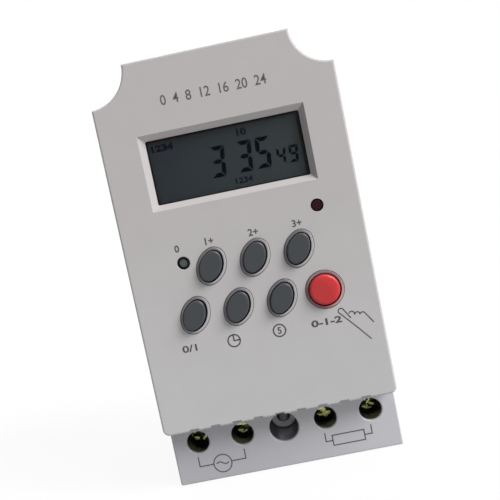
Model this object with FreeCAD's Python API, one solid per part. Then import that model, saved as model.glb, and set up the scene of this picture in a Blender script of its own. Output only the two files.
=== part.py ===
"""Digital timer for a wall or a 35 mm rail: cover, base, boards, keys and rising-cage terminals.

Millimetres. X points right and Z up, and the front looks along -Y. The origin is the centre of the
wall face, so every depth is a negative Y. Each function makes one piece, or one group of like pieces.
"""
import FreeCAD, Part
import math
import os

from FreeCAD import Vector

# Case
case_width = 72.0
cover_height = 111.35           # top edge to the notched lower edge
terminal_height = 19.15         # terminal step below the cover
case_depth = 55.0
cover_depth = 30.0              # front face back to the parting line
step_setback = 8.0              # terminal face behind the cover's face
base_inset = 0.4                # base and terminal housing stand in from the cover all round
wall = 2.2
panel_thickness = 2.2
scoop_radius = 11.3             # concave scoops at both upper corners
corner_radius = 2.0             # lower corners of the cover
cover_edge_radius = 0.7
floor_tuck = 4.0                # cover floor reaches this far behind the terminal face

# Notched lower edge of the cover
notch_count = 9
notch_pitch = 6.6
notch_width = 2.9
notch_depth = 0.9

# Display window and display
window_x = 0.2
window_rise = 22.97             # window centre above the panel's centre
window_side = 12.95             # window's side edges in from the cover's sides
window_height = 19.15
bevel_depth = 1.8
bevel_width = 1.75
window_corner = 0.5
pane_lap = 1.6
pane_thickness = 1.0
glass_lap = 1.45                # display glass beyond the window at its sides
glass_lap_high = 3.4            # and above and below it
glass_thickness = 2.2
glass_ledge = 2.6               # front glass runs this far past the rear glass, above and below
glass_to_board = 5.2
rubber_thickness = 2.0
rubber_inset = 1.4              # middle of a conductive strip in from the glass edge
frame_wall = 0.9
frame_gap = 0.15

# Keys
key_long = 4.68                 # half axes of an oval cap
key_short = 3.17
key_end_radius = 2.3            # arcs at both ends of an oval cap
key_lean = 30.0                 # degrees, long axis leaning right
key_shift_x = -0.1              # caps sit this far off the middle of their holes
key_shift_z = 0.17
key_clearance = 0.4
key_proud = 2.0
key_edge = 0.6
key_wall = 1.1
key_pitch = 13.2
upper_row_x = 2.26              # middle key of the upper row
upper_row_drop = 7.2            # below the panel's centre
lower_row_x = -5.52
lower_row_drop = 20.7
manual_x = 20.6
manual_radius = 4.6
manual_edge = 0.9
collar_wall = 0.65
collar_height = 0.35
collar_edge = 0.2
key_travel = 0.8
key_play = 0.1
flange_lip = 0.8
flange_thickness = 0.9
stem_radius = 1.5
reset_x = -18.93
reset_drop = 4.72
reset_hole_radius = 1.83
reset_pin_radius = 1.1
reset_recess = 0.3
reset_chamfer = 0.25

# Tactile switches
switch_side = 6.0
switch_height = 3.6
plunger_radius = 1.75
plunger_reach = 1.3
plunger_buried = 1.2
plunger_clearance = 0.1

# Indicator lamp
lamp_x = 23.18
lamp_rise = 4.26
lamp_hole_radius = 1.92
lamp_radius = 1.75
lamp_edge = 0.6
lamp_recess = 0.25
lamp_length = 5.3
lamp_flange_radius = 2.0
lamp_flange_thickness = 1.0
lamp_lead_gap = 2.54
lamp_lead = 0.5

# Boards
board_thickness = 1.6
control_side = 7.6              # control board in from the inner side of the cover
control_above_window = 8.0      # board edge beyond the display glass
control_below_keys = 12.3       # board edge below the lower row
control_post_inset = 3.4
board_post_radius = 2.4
power_standoff = 2.8            # power board in front of the rail recess wall
power_side = 8.8                # power board in from the inner side of the cover
power_foot_side = 2.2
power_foot_height = 11.5
power_height = 76.5
power_low_gap = 2.75
power_boss_inset = 3.8
power_boss_low = 7.5
power_boss_high = 4.0
power_boss_radius = 3.0

# Board screws
small_thread_radius = 0.9
small_thread_clearance = 0.05
small_hole_clearance = 0.2
small_thread_length = 5.0
small_head_radius = 1.9
small_head_height = 1.3
small_head_edge = 0.45
small_tip_gap = 0.65            # pilot left below the thread

# Components on the control board
chip_side = 12.0
chip_height = 1.5
chip_edge = 0.3
chip_drop = 20.0                # below the window's centre
crystal_radius = 1.0
crystal_length = 6.0
crystal_offset = 10.5
battery_radius = 7.6
battery_length = 18.0
battery_x = -11.0
battery_rise = 10.5             # above the window's centre
battery_edge = 0.8
lying_gap = 0.1                 # round parts lie this far off the board

# Components on the power board
relay_x = 9.5
relay_width = 27.0
relay_length = 32.0
relay_height = 20.0
relay_low = 12.5                # above the board's lower edge
relay_edge = 1.0
dropper_x = -18.0
dropper_width = 10.0
dropper_length = 26.0
dropper_height = 19.0
dropper_low = 12.5
dropper_edge = 1.2
can_x = -15.0
can_low = 52.0
can_pitch = 13.5
can_radii = (4.0, 5.0)
can_heights = (12.0, 16.0)
can_bead = 0.4
varistor_radius = 5.0
varistor_thickness = 4.0
varistor_edge = 1.0
varistor_low = 6.4
varistor_gap = 0.3
diode_radius = 1.35
diode_length = 5.2
diode_count = 4
diode_x = 0.0
resistor_radius = 1.6
resistor_length = 7.5
resistor_count = 3
resistor_x = 10.4
axial_low = 50.0
axial_pitch = 4.2
axial_gap = 0.3
lead_radius = 0.35
lead_reach = 1.6
link_side = 8.2                 # ribbon's middle in from the side of the control board
link_low = 64.0
connector_width = 12.5
connector_depth = 6.0
connector_height = 5.6
ribbon_width = 10.2
ribbon_thickness = 1.0

# Terminals
terminal_drop = 6.17            # screw axes below the cover's lower edge
terminal_side = 8.5             # outer screw axes in from the cover's side
terminal_pitch = 14.27
driver_hole_radius = 3.55
driver_hole_chamfer = 0.3
screw_head_radius = 3.0
screw_head_height = 2.4
screw_head_edge = 0.8
screw_radius = 1.75
screw_point = 0.45
screw_slot = 0.9
screw_slot_depth = 1.3
screw_cross = 3.4
screw_clearance = 0.05
screw_tip_gap = 0.1
head_gap = 0.3
ledge_thickness = 2.0
ledge_clearance = 0.35
cage_width = 7.4
cage_height = 6.4
cage_nut_wall = 2.8
cage_side_wall = 1.1
cage_back_wall = 1.4
cage_edge = 0.5
cage_nut_gap = 3.0              # strap to nut wall when the clamp is open
cage_back_gap = 6.65
chamber_gap = 0.3
cage_stop_gap = 1.6             # cage to the base's stop block behind it
cage_stop_side = 0.2
wire_space = 5.4                # open clamp, strap to back wall
wire_least = 0.5                # closed clamp
rise_stop_gap = 0.5
strap_width = 4.8
strap_thickness = 1.2
strap_slot_gap = 0.2
strap_rise = 4.2                # above the power board's lower edge
wire_mouth_x = 8.2
wire_mouth_y = 8.6
wire_throat_x = 6.0
wire_throat_y = 5.8
wire_mouth_depth = 4.0
housing_edge = 0.5

# Fixing screw passage
fixing_drop = 6.6               # below the cover's lower edge
fixing_well_radius = 4.6
fixing_well_depth = 12.3
fixing_hole_radius = 2.25

# Base
plate_thickness = 2.5
rail_recess_height = 35.4
rail_recess_depth = 8.0
rail_wall = 2.0
rail_slot = 1.9                 # room for the rail's edge
rail_lip = 1.8
tongue_gap = 0.15
tongue_thickness = 1.1
tongue_height = 2.0
tongue_root = 4.0
keyhole_rise = 44.0
keyhole_entry_radius = 4.3
keyhole_slot_radius = 2.2
keyhole_length = 7.0
keyhole_room = 7.5
keyhole_wall = 1.5

# Case screws
post_inset = 6.1                # screw axis in from the cover's side
post_low = 22.3                 # above the cover's lower edge
post_high = 17.7                # below the cover's top edge
post_radius = 3.2
post_gap = 0.2
post_rib = 1.2
post_rib_gap = 4.0              # rib ends this far before the parting line
sleeve_radius = 3.7
case_head_radius = 2.8
case_head_height = 2.0
case_head_edge = 0.65
case_head_clearance = 0.3
case_head_depth = 13.0          # counterbore from the wall face to the head
case_thread_radius = 1.45
case_thread_clearance = 0.05
case_thread_length = 22.0
case_tip_gap = 2.6              # pilot left below the thread
case_shank_clearance = 0.25

# Rail clip
clip_wide_half = 6.9
clip_narrow_half = 4.9
clip_wide_thickness = 2.6
clip_narrow_thickness = 2.9
clip_side_gap = 0.3
clip_face_gap = 0.15
clip_channel_wall = 2.2
clip_low_gap = 3.25             # clip's lower end above the case's lower end
clip_hook = 2.0                 # hook reaches this far into the rail recess
clip_nose_flat = 1.2
clip_travel = 3.0
clip_window_gap = 0.95
clip_slot_width = 5.0
clip_slot_height = 1.6
clip_slot_low = 1.5
spring_top_drop = 8.3           # spring's upper seat below the rail recess
spring_length = 13.6
spring_wire_radius = 0.3
spring_radius = 1.75
spring_turns = 6
spring_seat_gap = 0.1
peg_half_width = 2.0
peg_height = 2.0
spring_window_gap = 0.5

# Planes worked out from the sizes above
top_z = (cover_height + terminal_height) / 2
cover_low_z = top_z - cover_height
case_low_z = -top_z
panel_z = cover_low_z + cover_height / 2
front_y = -case_depth
panel_back_y = front_y + panel_thickness
split_y = front_y + cover_depth
step_y = front_y + step_setback
floor_back_y = step_y + floor_tuck
cover_half = case_width / 2
inner_half = cover_half - wall
control_half = inner_half - control_side
power_half = inner_half - power_side
power_foot_half = inner_half - power_foot_side
power_boss_x = power_half - power_boss_inset
link_x = control_half - link_side
base_half = cover_half - base_inset
window_z = panel_z + window_rise
window_width = case_width - 2 * window_side
glass_width = window_width + 2 * glass_lap
glass_height = window_height + 2 * glass_lap_high
pane_back_y = panel_back_y + pane_thickness
glass_middle_y = pane_back_y + glass_thickness / 2
glass_back_y = pane_back_y + glass_thickness
control_front_y = glass_back_y + glass_to_board
control_back_y = control_front_y + board_thickness
control_low_z = panel_z - lower_row_drop - control_below_keys
control_high_z = window_z + glass_height / 2 + control_above_window
flange_front_y = panel_back_y + key_play
flange_back_y = flange_front_y + flange_thickness
switch_front_y = control_front_y - switch_height
plunger_front_y = switch_front_y - plunger_reach
key_front_y = front_y - key_proud
rail_half = rail_recess_height / 2
rail_wall_y = -(rail_recess_depth + rail_wall)
clip_front_y = -(rail_recess_depth - rail_slot)
channel_front_y = clip_front_y - clip_face_gap
clip_step_y = clip_front_y + clip_wide_thickness
clip_back_y = clip_step_y + clip_narrow_thickness
pad_y = channel_front_y - clip_channel_wall
power_back_y = rail_wall_y - power_standoff
power_front_y = power_back_y - board_thickness
power_low_z = cover_low_z + power_low_gap
power_high_z = power_low_z + power_height
terminal_z = cover_low_z - terminal_drop
fixing_z = cover_low_z - fixing_drop
fixing_floor_y = step_y + fixing_well_depth
cage_back_y = pad_y - cage_back_gap
strap_back_y = cage_back_y - cage_back_wall - wire_space
strap_front_y = strap_back_y - strap_thickness
nut_back_y = strap_front_y - cage_nut_gap
cage_front_y = nut_back_y - cage_nut_wall
cage_rise = wire_space - wire_least
ledge_back_y = cage_front_y - cage_rise - rise_stop_gap
ledge_front_y = ledge_back_y - ledge_thickness
head_back_y = ledge_front_y - head_gap
head_front_y = head_back_y - screw_head_height
post_x = cover_half - post_inset
post_zs = (cover_low_z + post_low, top_z - post_high)
clip_low_z = case_low_z + clip_low_gap
spring_top_z = -rail_half - spring_top_drop
peg_top_z = spring_top_z - spring_length
through = 1.0                   # cutting tools run this far past a face

outer_x = cover_half - terminal_side
inner_x = outer_x - terminal_pitch
terminal_xs = [-outer_x, -inner_x, inner_x, outer_x]
oval_keys = {
    "day": (upper_row_x - key_pitch, panel_z - upper_row_drop),
    "hour": (upper_row_x, panel_z - upper_row_drop),
    "minute": (upper_row_x + key_pitch, panel_z - upper_row_drop),
    "cancel": (lower_row_x - key_pitch, panel_z - lower_row_drop),
    "clock": (lower_row_x, panel_z - lower_row_drop),
    "program": (lower_row_x + key_pitch, panel_z - lower_row_drop),
}
manual_key = (manual_x, panel_z - lower_row_drop)
reset_key = (reset_x, panel_z - reset_drop)
lamp_at = (lamp_x, panel_z + lamp_rise)
switch_places = dict(oval_keys, manual=manual_key, reset=reset_key)


def block(x0, x1, y0, y1, z0, z1):
    """Box between two corners."""
    return Part.makeBox(x1 - x0, y1 - y0, z1 - z0, Vector(x0, y0, z0))


def rod(at, radius, y0, y1):
    """Cylinder along Y about the point (x, z)."""
    return Part.makeCylinder(radius, y1 - y0, Vector(at[0], y0, at[1]), Vector(0, 1, 0))


def cross_rod(x0, x1, y, z, radius):
    """Cylinder along X."""
    return Part.makeCylinder(radius, x1 - x0, Vector(x0, y, z), Vector(1, 0, 0))


def cone(at, front_radius, back_radius, y0, y1):
    """Cone along Y about the point (x, z)."""
    return Part.makeCone(front_radius, back_radius, y1 - y0, Vector(at[0], y0, at[1]), Vector(0, 1, 0))


def oval(at, grow, y0, y1):
    """Leaning oval prism of four tangent arcs along Y, parallel to the cap's outline."""
    long_half = key_long + grow
    short_half = key_short + grow
    end_radius = key_end_radius + grow
    end_centre = long_half - end_radius
    side_radius = (end_centre ** 2 + short_half ** 2 - end_radius ** 2) / (2 * (short_half - end_radius))
    side_centre = side_radius - short_half
    across = side_centre * end_radius / (side_radius - end_radius)
    along = end_centre * side_radius / (side_radius - end_radius)
    sine = math.sin(math.radians(key_lean))
    cosine = math.cos(math.radians(key_lean))

    def point(u, v):
        return Vector(at[0] + u * cosine + v * sine, y0, at[1] + v * cosine - u * sine)

    joints = [point(across, along), point(-across, along), point(-across, -along), point(across, -along)]
    middles = [point(0, long_half), point(-short_half, 0), point(0, -long_half), point(short_half, 0)]
    arcs = [Part.Arc(start, middle, end).toShape()
            for start, middle, end in zip(joints, middles, joints[1:] + joints[:1])]
    return Part.Face(Part.Wire(arcs)).extrude(Vector(0, y1 - y0, 0))


def edges_at(shape, y):
    """Edges that lie wholly in one plane of constant Y."""
    return [edge for edge in shape.Edges
            if abs(edge.BoundBox.YMin - y) < 1e-6 and abs(edge.BoundBox.YMax - y) < 1e-6]


def edges_along(shape, axis):
    """Straight edges parallel to an axis."""
    found = []
    for edge in shape.Edges:
        if isinstance(edge.Curve, Part.Line):
            direction = edge.Curve.Direction
            if abs(abs(direction.dot(axis)) - 1) < 1e-6:
                found.append(edge)
    return found


def outline(inset, low_z, corner, y):
    """Case outline moved inwards: concave arcs at the upper corners, rounded lower corners."""
    half = cover_half - inset
    high = top_z - inset
    radius = scoop_radius + inset
    reach = math.sqrt(radius ** 2 - inset ** 2)
    scoop_x = cover_half - reach
    scoop_z = top_z - reach
    middle = radius * math.sqrt(0.5)

    def at(x, z):
        return Vector(x, y, z)

    def line(start, end):
        return Part.LineSegment(start, end).toShape()

    def arc(start, mid, end):
        return Part.Arc(start, mid, end).toShape()

    bend = corner * (1 - math.sqrt(0.5))
    edges = [
        line(at(-half, low_z + corner), at(-half, scoop_z)),
        arc(at(-half, scoop_z), at(middle - cover_half, top_z - middle), at(-scoop_x, high)),
        line(at(-scoop_x, high), at(scoop_x, high)),
        arc(at(scoop_x, high), at(cover_half - middle, top_z - middle), at(half, scoop_z)),
        line(at(half, scoop_z), at(half, low_z + corner)),
    ]
    if corner > 0:
        edges.append(arc(at(half, low_z + corner), at(half - bend, low_z + bend), at(half - corner, low_z)))
    edges.append(line(at(half - corner, low_z), at(corner - half, low_z)))
    if corner > 0:
        edges.append(arc(at(corner - half, low_z), at(bend - half, low_z + bend), at(-half, low_z + corner)))
    return Part.Wire(edges)


def outline_prism(inset, low_z, corner, y0, y1):
    """Case outline extruded along Y."""
    return Part.Face(outline(inset, low_z, corner, y0)).extrude(Vector(0, y1 - y0, 0))


def window_wire(grow, y):
    """Rectangle round the display window."""
    half_x = window_width / 2 + grow
    half_z = window_height / 2 + grow
    corners = [Vector(window_x + sx * half_x, y, window_z + sz * half_z)
               for sx, sz in ((-1, -1), (1, -1), (1, 1), (-1, 1))]
    return Part.makePolygon(corners + corners[:1])


def window_cut():
    """Bevelled mouth of the display window, with rounded corners at its foot."""
    ledge_y = front_y + bevel_depth
    overshoot = bevel_width * through / bevel_depth
    mouth = Part.makeLoft([window_wire(bevel_width + overshoot, front_y - through),
                           window_wire(0, ledge_y)], True, True)
    opening = block(window_x - window_width / 2, window_x + window_width / 2, ledge_y - through,
                    panel_back_y + through, window_z - window_height / 2, window_z + window_height / 2)
    opening = opening.makeFillet(window_corner, edges_along(opening, Vector(0, 1, 0)))
    return mouth, opening


def key_collar(at):
    """Raised ring round an oval key, without its hole."""
    ring = oval(at, key_clearance + collar_wall, front_y - collar_height, panel_back_y - through)
    return ring.makeFillet(collar_edge, edges_at(ring, front_y - collar_height))


def manual_collar():
    """Raised ring round the manual key, without its hole."""
    radius = manual_radius + key_clearance + collar_wall
    ring = rod(manual_key, radius, front_y - collar_height, panel_back_y - through)
    return ring.makeFillet(collar_edge, edges_at(ring, front_y - collar_height))


def board_post_places():
    """Screw places of the control board."""
    x = control_half - control_post_inset
    return [(side * x, z) for side in (-1, 1)
            for z in (control_low_z + control_post_inset, control_high_z - control_post_inset)]


def front_cover():
    """Moulded shell with scoops, bevelled window, key collars, posts and the notched lower edge."""
    shell = outline_prism(0, cover_low_z, corner_radius, front_y, split_y)
    shell = shell.makeFillet(cover_edge_radius, edges_at(shell, front_y))
    room = outline_prism(wall, cover_low_z + wall, 0, panel_back_y, split_y + through)
    floor_gap = block(-inner_half, inner_half, floor_back_y, split_y + through,
                      cover_low_z - through, cover_low_z + wall + through)
    shell = shell.cut([room, floor_gap])

    added = [key_collar(at) for at in oval_keys.values()]
    added.append(manual_collar())
    for side in (-1, 1):
        for z in post_zs:
            added.append(rod((side * post_x, z), post_radius, panel_back_y - through, split_y - post_gap))
            rib_x = sorted((side * (post_x + post_radius - post_rib), side * (inner_half + post_rib / 2)))
            added.append(block(rib_x[0], rib_x[1], panel_back_y - through, split_y - post_rib_gap,
                               z - post_rib / 2, z + post_rib / 2))
    for at in board_post_places():
        added.append(rod(at, board_post_radius, panel_back_y - through, control_front_y))
    shell = shell.fuse(added)

    cuts = list(window_cut())
    before = front_y - collar_height - through
    behind = panel_back_y + through
    for at in oval_keys.values():
        cuts.append(oval(at, key_clearance, before, behind))
    cuts.append(rod(manual_key, manual_radius + key_clearance, before, behind))
    cuts.append(rod(reset_key, reset_hole_radius, before, behind))
    cuts.append(cone(reset_key, reset_hole_radius + reset_chamfer, reset_hole_radius,
                     front_y, front_y + reset_chamfer))
    cuts.append(rod(lamp_at, lamp_hole_radius, before, behind))
    pilot = case_thread_radius + case_thread_clearance
    for side in (-1, 1):
        for z in post_zs:
            cuts.append(rod((side * post_x, z), pilot, split_y - case_thread_length, split_y + through))
    pilot = small_thread_radius + small_thread_clearance
    for at in board_post_places():
        cuts.append(rod(at, pilot, control_front_y - small_thread_length, control_front_y + through))
    for index in range(notch_count):
        x = (index - (notch_count - 1) / 2) * notch_pitch
        cuts.append(block(x - notch_width / 2, x + notch_width / 2, front_y - through, step_y,
                          cover_low_z - through, cover_low_z + notch_depth))
    return shell.cut(cuts)


def display_window():
    """Clear pane behind the window."""
    half_x = window_width / 2 + pane_lap
    half_z = window_height / 2 + pane_lap
    pane = block(window_x - half_x, window_x + half_x, panel_back_y, pane_back_y,
                 window_z - half_z, window_z + half_z)
    return pane.makeFillet(window_corner, edges_along(pane, Vector(0, 1, 0)))


def lcd_glass():
    """Display: a tall front glass with contact ledges, and a rear glass that leaves them free."""
    half_x = glass_width / 2
    half_z = glass_height / 2
    front = block(window_x - half_x, window_x + half_x, pane_back_y, glass_middle_y,
                  window_z - half_z, window_z + half_z)
    rear_half_z = half_z - glass_ledge
    back = block(window_x - half_x, window_x + half_x, glass_middle_y, glass_back_y,
                 window_z - rear_half_z, window_z + rear_half_z)
    return front.fuse(back)


def lcd_frame():
    """Frame that holds the glass and the rubber strips against the control board."""
    half_x = glass_width / 2 + frame_gap
    half_z = glass_height / 2 + frame_gap
    outer = block(window_x - half_x - frame_wall, window_x + half_x + frame_wall, pane_back_y,
                  control_front_y, window_z - half_z - frame_wall, window_z + half_z + frame_wall)
    inner = block(window_x - half_x, window_x + half_x, pane_back_y - through, control_front_y + through,
                  window_z - half_z, window_z + half_z)
    outer = outer.makeFillet(frame_wall, edges_along(outer, Vector(0, 1, 0)))
    return outer.cut(inner)


def rubber_strips():
    """Two conductive rubber strips between the glass ledges and the control board."""
    reach = glass_width / 2 - rubber_inset
    offset = glass_height / 2 - rubber_inset
    return [block(window_x - reach, window_x + reach, glass_middle_y, control_front_y,
                  window_z + side * offset - rubber_thickness / 2,
                  window_z + side * offset + rubber_thickness / 2) for side in (-1, 1)]


def drilled(board, places, y0, y1):
    """Board with screw holes."""
    radius = small_thread_radius + small_hole_clearance
    return board.cut([rod(at, radius, y0 - through, y1 + through) for at in places])


def control_board():
    """Board behind the panel, with rounded corners."""
    board = block(-control_half, control_half, control_front_y, control_back_y,
                  control_low_z, control_high_z)
    board = board.makeFillet(window_corner, edges_along(board, Vector(0, 1, 0)))
    return drilled(board, board_post_places(), control_front_y, control_back_y)


def power_boss_places():
    """Screw places of the power board."""
    return [(side * power_boss_x, z) for side in (-1, 1)
            for z in (power_low_z + power_boss_low, power_high_z - power_boss_high)]


def power_board():
    """Board on the base, with a wide foot that takes the contact straps."""
    tall = block(-power_half, power_half, power_front_y, power_back_y, power_low_z, power_high_z)
    foot = block(-power_foot_half, power_foot_half, power_front_y, power_back_y,
                 power_low_z, power_low_z + power_foot_height)
    return drilled(tall.fuse(foot).removeSplitter(), power_boss_places(), power_front_y, power_back_y)


def key_cap(cap, flange, pocket, stem):
    """Cap with its stop flange, hollow behind, and the stem that meets the switch plunger."""
    return cap.fuse(flange).cut(pocket).fuse(stem)


def cap_place(at):
    """Middle of a cap in its hole."""
    return (at[0] + key_shift_x, at[1] + key_shift_z)


def oval_button(hole_at):
    """Oval key."""
    at = cap_place(hole_at)
    cap = oval(at, 0, key_front_y, flange_back_y)
    cap = cap.makeFillet(key_edge, edges_at(cap, key_front_y))
    flange = oval(at, flange_lip, flange_front_y, flange_back_y)
    pocket = oval(at, -key_wall, key_front_y + key_wall + key_edge, flange_back_y + through)
    stem = rod(at, stem_radius, key_front_y + key_wall, plunger_front_y)
    return key_cap(cap, flange, pocket, stem)


def manual_button():
    """Round key."""
    at = cap_place(manual_key)
    cap = rod(at, manual_radius, key_front_y, flange_back_y)
    cap = cap.makeFillet(manual_edge, edges_at(cap, key_front_y))
    flange = rod(at, manual_radius + flange_lip, flange_front_y, flange_back_y)
    pocket = rod(at, manual_radius - key_wall, key_front_y + key_wall + manual_edge, flange_back_y + through)
    stem = rod(at, stem_radius, key_front_y + key_wall, plunger_front_y)
    return key_cap(cap, flange, pocket, stem)


def reset_button():
    """Thin pin, pressed with a pen tip, with a stop flange behind the panel."""
    pin = rod(reset_key, reset_pin_radius, front_y + reset_recess, plunger_front_y)
    flange = rod(reset_key, reset_hole_radius + flange_lip, flange_front_y, flange_back_y)
    return pin.fuse(flange)


def switch_body(at):
    """Tactile switch with the well of its plunger."""
    half = switch_side / 2
    body = block(at[0] - half, at[0] + half, switch_front_y, control_front_y, at[1] - half, at[1] + half)
    well_back_y = switch_front_y + plunger_buried + key_travel + plunger_clearance
    return body.cut(rod(at, plunger_radius + plunger_clearance, switch_front_y - through, well_back_y))


def plunger(at):
    """Plunger of one switch."""
    return rod(at, plunger_radius, plunger_front_y, switch_front_y + plunger_buried)


def status_led():
    """Indicator lamp: lens, rim and two leads down to the control board."""
    lens_front_y = front_y + lamp_recess
    lens_back_y = lens_front_y + lamp_length
    lens = rod(lamp_at, lamp_radius, lens_front_y, lens_back_y)
    lens = lens.makeFillet(lamp_edge, edges_at(lens, lens_front_y))
    rim = rod(lamp_at, lamp_flange_radius, lens_back_y - lamp_flange_thickness, lens_back_y)
    leads = []
    for side in (-1, 1):
        x = lamp_at[0] + side * lamp_lead_gap / 2
        leads.append(block(x - lamp_lead / 2, x + lamp_lead / 2, lens_back_y - lamp_lead, control_front_y,
                           lamp_at[1] - lamp_lead / 2, lamp_at[1] + lamp_lead / 2))
    return lens.fuse([rim] + leads)


def microcontroller():
    """Square chip on the back of the control board."""
    half = chip_side / 2
    z = window_z - chip_drop
    chip = block(-half, half, control_back_y, control_back_y + chip_height, z - half, z + half)
    return chip.makeChamfer(chip_edge, edges_at(chip, control_back_y + chip_height))


def clock_crystal():
    """Small can lying on the control board beside the chip."""
    z = window_z - chip_drop
    y = control_back_y + crystal_radius + lying_gap
    return Part.makeCylinder(crystal_radius, crystal_length,
                             Vector(crystal_offset, y, z - crystal_length / 2), Vector(0, 0, 1))


def backup_battery():
    """Stack of round cells lying across the control board's back."""
    y = control_back_y + battery_radius + lying_gap
    z = window_z + battery_rise
    stack = cross_rod(battery_x - battery_length / 2, battery_x + battery_length / 2, y, z, battery_radius)
    return stack.makeChamfer(battery_edge, [edge for edge in stack.Edges if edge.isClosed()])


def on_power_board(x0, x1, low, high, height):
    """Box standing on the power board, with heights measured from its lower edge."""
    return block(x0, x1, power_front_y - height, power_front_y, power_low_z + low, power_low_z + high)


def relay():
    """Power relay."""
    body = on_power_board(relay_x - relay_width / 2, relay_x + relay_width / 2, relay_low,
                          relay_low + relay_length, relay_height)
    return body.makeFillet(relay_edge, edges_at(body, power_front_y - relay_height))


def dropper_capacitor():
    """Film capacitor that feeds the electronics."""
    body = on_power_board(dropper_x - dropper_width / 2, dropper_x + dropper_width / 2, dropper_low,
                          dropper_low + dropper_length, dropper_height)
    return body.makeFillet(dropper_edge, edges_at(body, power_front_y - dropper_height))


def smoothing_capacitors():
    """Two electrolytic cans standing on the power board."""
    cans = []
    for index, (radius, height) in enumerate(zip(can_radii, can_heights)):
        at = (can_x, power_low_z + can_low + index * can_pitch)
        can = rod(at, radius, power_front_y - height, power_front_y)
        cans.append(can.makeChamfer(can_bead, edges_at(can, power_front_y - height)))
    return cans


def varistor():
    """Disc varistor on edge above the power board."""
    y = power_front_y - varistor_radius - varistor_gap
    z = power_low_z + varistor_low
    half = varistor_thickness / 2
    disc = cross_rod(-half, half, y, z, varistor_radius)
    disc = disc.makeChamfer(varistor_edge, [edge for edge in disc.Edges if edge.isClosed()])
    legs = []
    for side in (-1, 1):
        leg_z = z + side * varistor_radius / 2
        legs.append(Part.makeCylinder(lead_radius, power_front_y - y, Vector(0, y, leg_z), Vector(0, 1, 0)))
    return disc.fuse(legs)


def axial_part(x, index, radius, length):
    """Axial component lying on the power board, with both leads bent down to it."""
    y = power_front_y - radius - axial_gap
    z = power_low_z + axial_low + index * axial_pitch
    half = length / 2
    body = cross_rod(x - half, x + half, y, z, radius)
    wire = cross_rod(x - half - lead_reach, x + half + lead_reach, y, z, lead_radius)
    legs = [Part.makeCylinder(lead_radius, power_front_y - y,
                              Vector(x + side * (half + lead_reach - lead_radius), y, z), Vector(0, 1, 0))
            for side in (-1, 1)]
    return body.fuse([wire] + legs)


def rectifier_diodes():
    """Diodes of the rectifier."""
    return [axial_part(diode_x, index, diode_radius, diode_length) for index in range(diode_count)]


def resistors():
    """Resistors of the supply."""
    return [axial_part(resistor_x, index, resistor_radius, resistor_length) for index in range(resistor_count)]


def link_connectors():
    """Two headers that face each other, one on each board."""
    half_x = connector_width / 2
    half_z = connector_depth / 2
    z = power_low_z + link_low
    power_end = block(link_x - half_x, link_x + half_x, power_front_y - connector_height, power_front_y,
                      z - half_z, z + half_z)
    control_end = block(link_x - half_x, link_x + half_x, control_back_y, control_back_y + connector_height,
                        z - half_z, z + half_z)
    return [power_end, control_end]


def link_ribbon():
    """Flat ribbon between the two headers."""
    half_x = ribbon_width / 2
    half_z = ribbon_thickness / 2
    z = power_low_z + link_low
    return block(link_x - half_x, link_x + half_x, control_back_y + connector_height,
                 power_front_y - connector_height, z - half_z, z + half_z)


def wire_mouth(x):
    """Tapering wire entry from the lower end up to the clamp."""
    y = strap_back_y + wire_space / 2

    def mouth(half_x, half_y, z):
        corners = [Vector(x + sx * half_x, y + sy * half_y, z)
                   for sx, sy in ((-1, -1), (1, -1), (1, 1), (-1, 1))]
        return Part.makePolygon(corners + corners[:1])

    throat_z = case_low_z + wire_mouth_depth
    funnel = Part.makeLoft([mouth(wire_mouth_x / 2, wire_mouth_y / 2, case_low_z),
                            mouth(wire_throat_x / 2, wire_throat_y / 2, throat_z)], True, True)
    throat = block(x - wire_throat_x / 2, x + wire_throat_x / 2, y - wire_throat_y / 2,
                   y + wire_throat_y / 2, throat_z, terminal_z)
    return funnel.fuse(throat)


def terminal_housing():
    """Terminal step: screw wells, clamp chambers, wire entries and the fixing-screw well."""
    body = block(-base_half, base_half, step_y, pad_y, case_low_z, cover_low_z)
    rounded = [edge for edge in edges_at(body, step_y) if edge.BoundBox.ZMin < cover_low_z - through]
    lower = [edge for edge in edges_along(body, Vector(0, 1, 0)) if edge.BoundBox.ZMax < cover_low_z - through]
    body = body.makeFillet(housing_edge, rounded + lower)
    cuts = []
    half_x = cage_width / 2 + chamber_gap
    half_z = cage_height / 2 + chamber_gap
    for x in terminal_xs:
        at = (x, terminal_z)
        cuts.append(rod(at, driver_hole_radius, step_y - through, ledge_front_y))
        cuts.append(cone(at, driver_hole_radius + driver_hole_chamfer, driver_hole_radius,
                         step_y, step_y + driver_hole_chamfer))
        cuts.append(rod(at, screw_radius + ledge_clearance, ledge_front_y - through, ledge_back_y + through))
        cuts.append(block(x - half_x, x + half_x, ledge_back_y, pad_y + through,
                          terminal_z - half_z, terminal_z + half_z))
        cuts.append(wire_mouth(x))
        slot_x = strap_width / 2 + strap_slot_gap
        cuts.append(block(x - slot_x, x + slot_x, strap_front_y - strap_slot_gap, strap_back_y + strap_slot_gap,
                          terminal_z, cover_low_z + through))
    fixing = (0, fixing_z)
    cuts.append(rod(fixing, fixing_well_radius, step_y - through, fixing_floor_y))
    cuts.append(cone(fixing, fixing_well_radius + driver_hole_chamfer, fixing_well_radius,
                     step_y, step_y + driver_hole_chamfer))
    cuts.append(rod(fixing, fixing_hole_radius, fixing_floor_y - through, pad_y + through))
    return body.cut(cuts)


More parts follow.
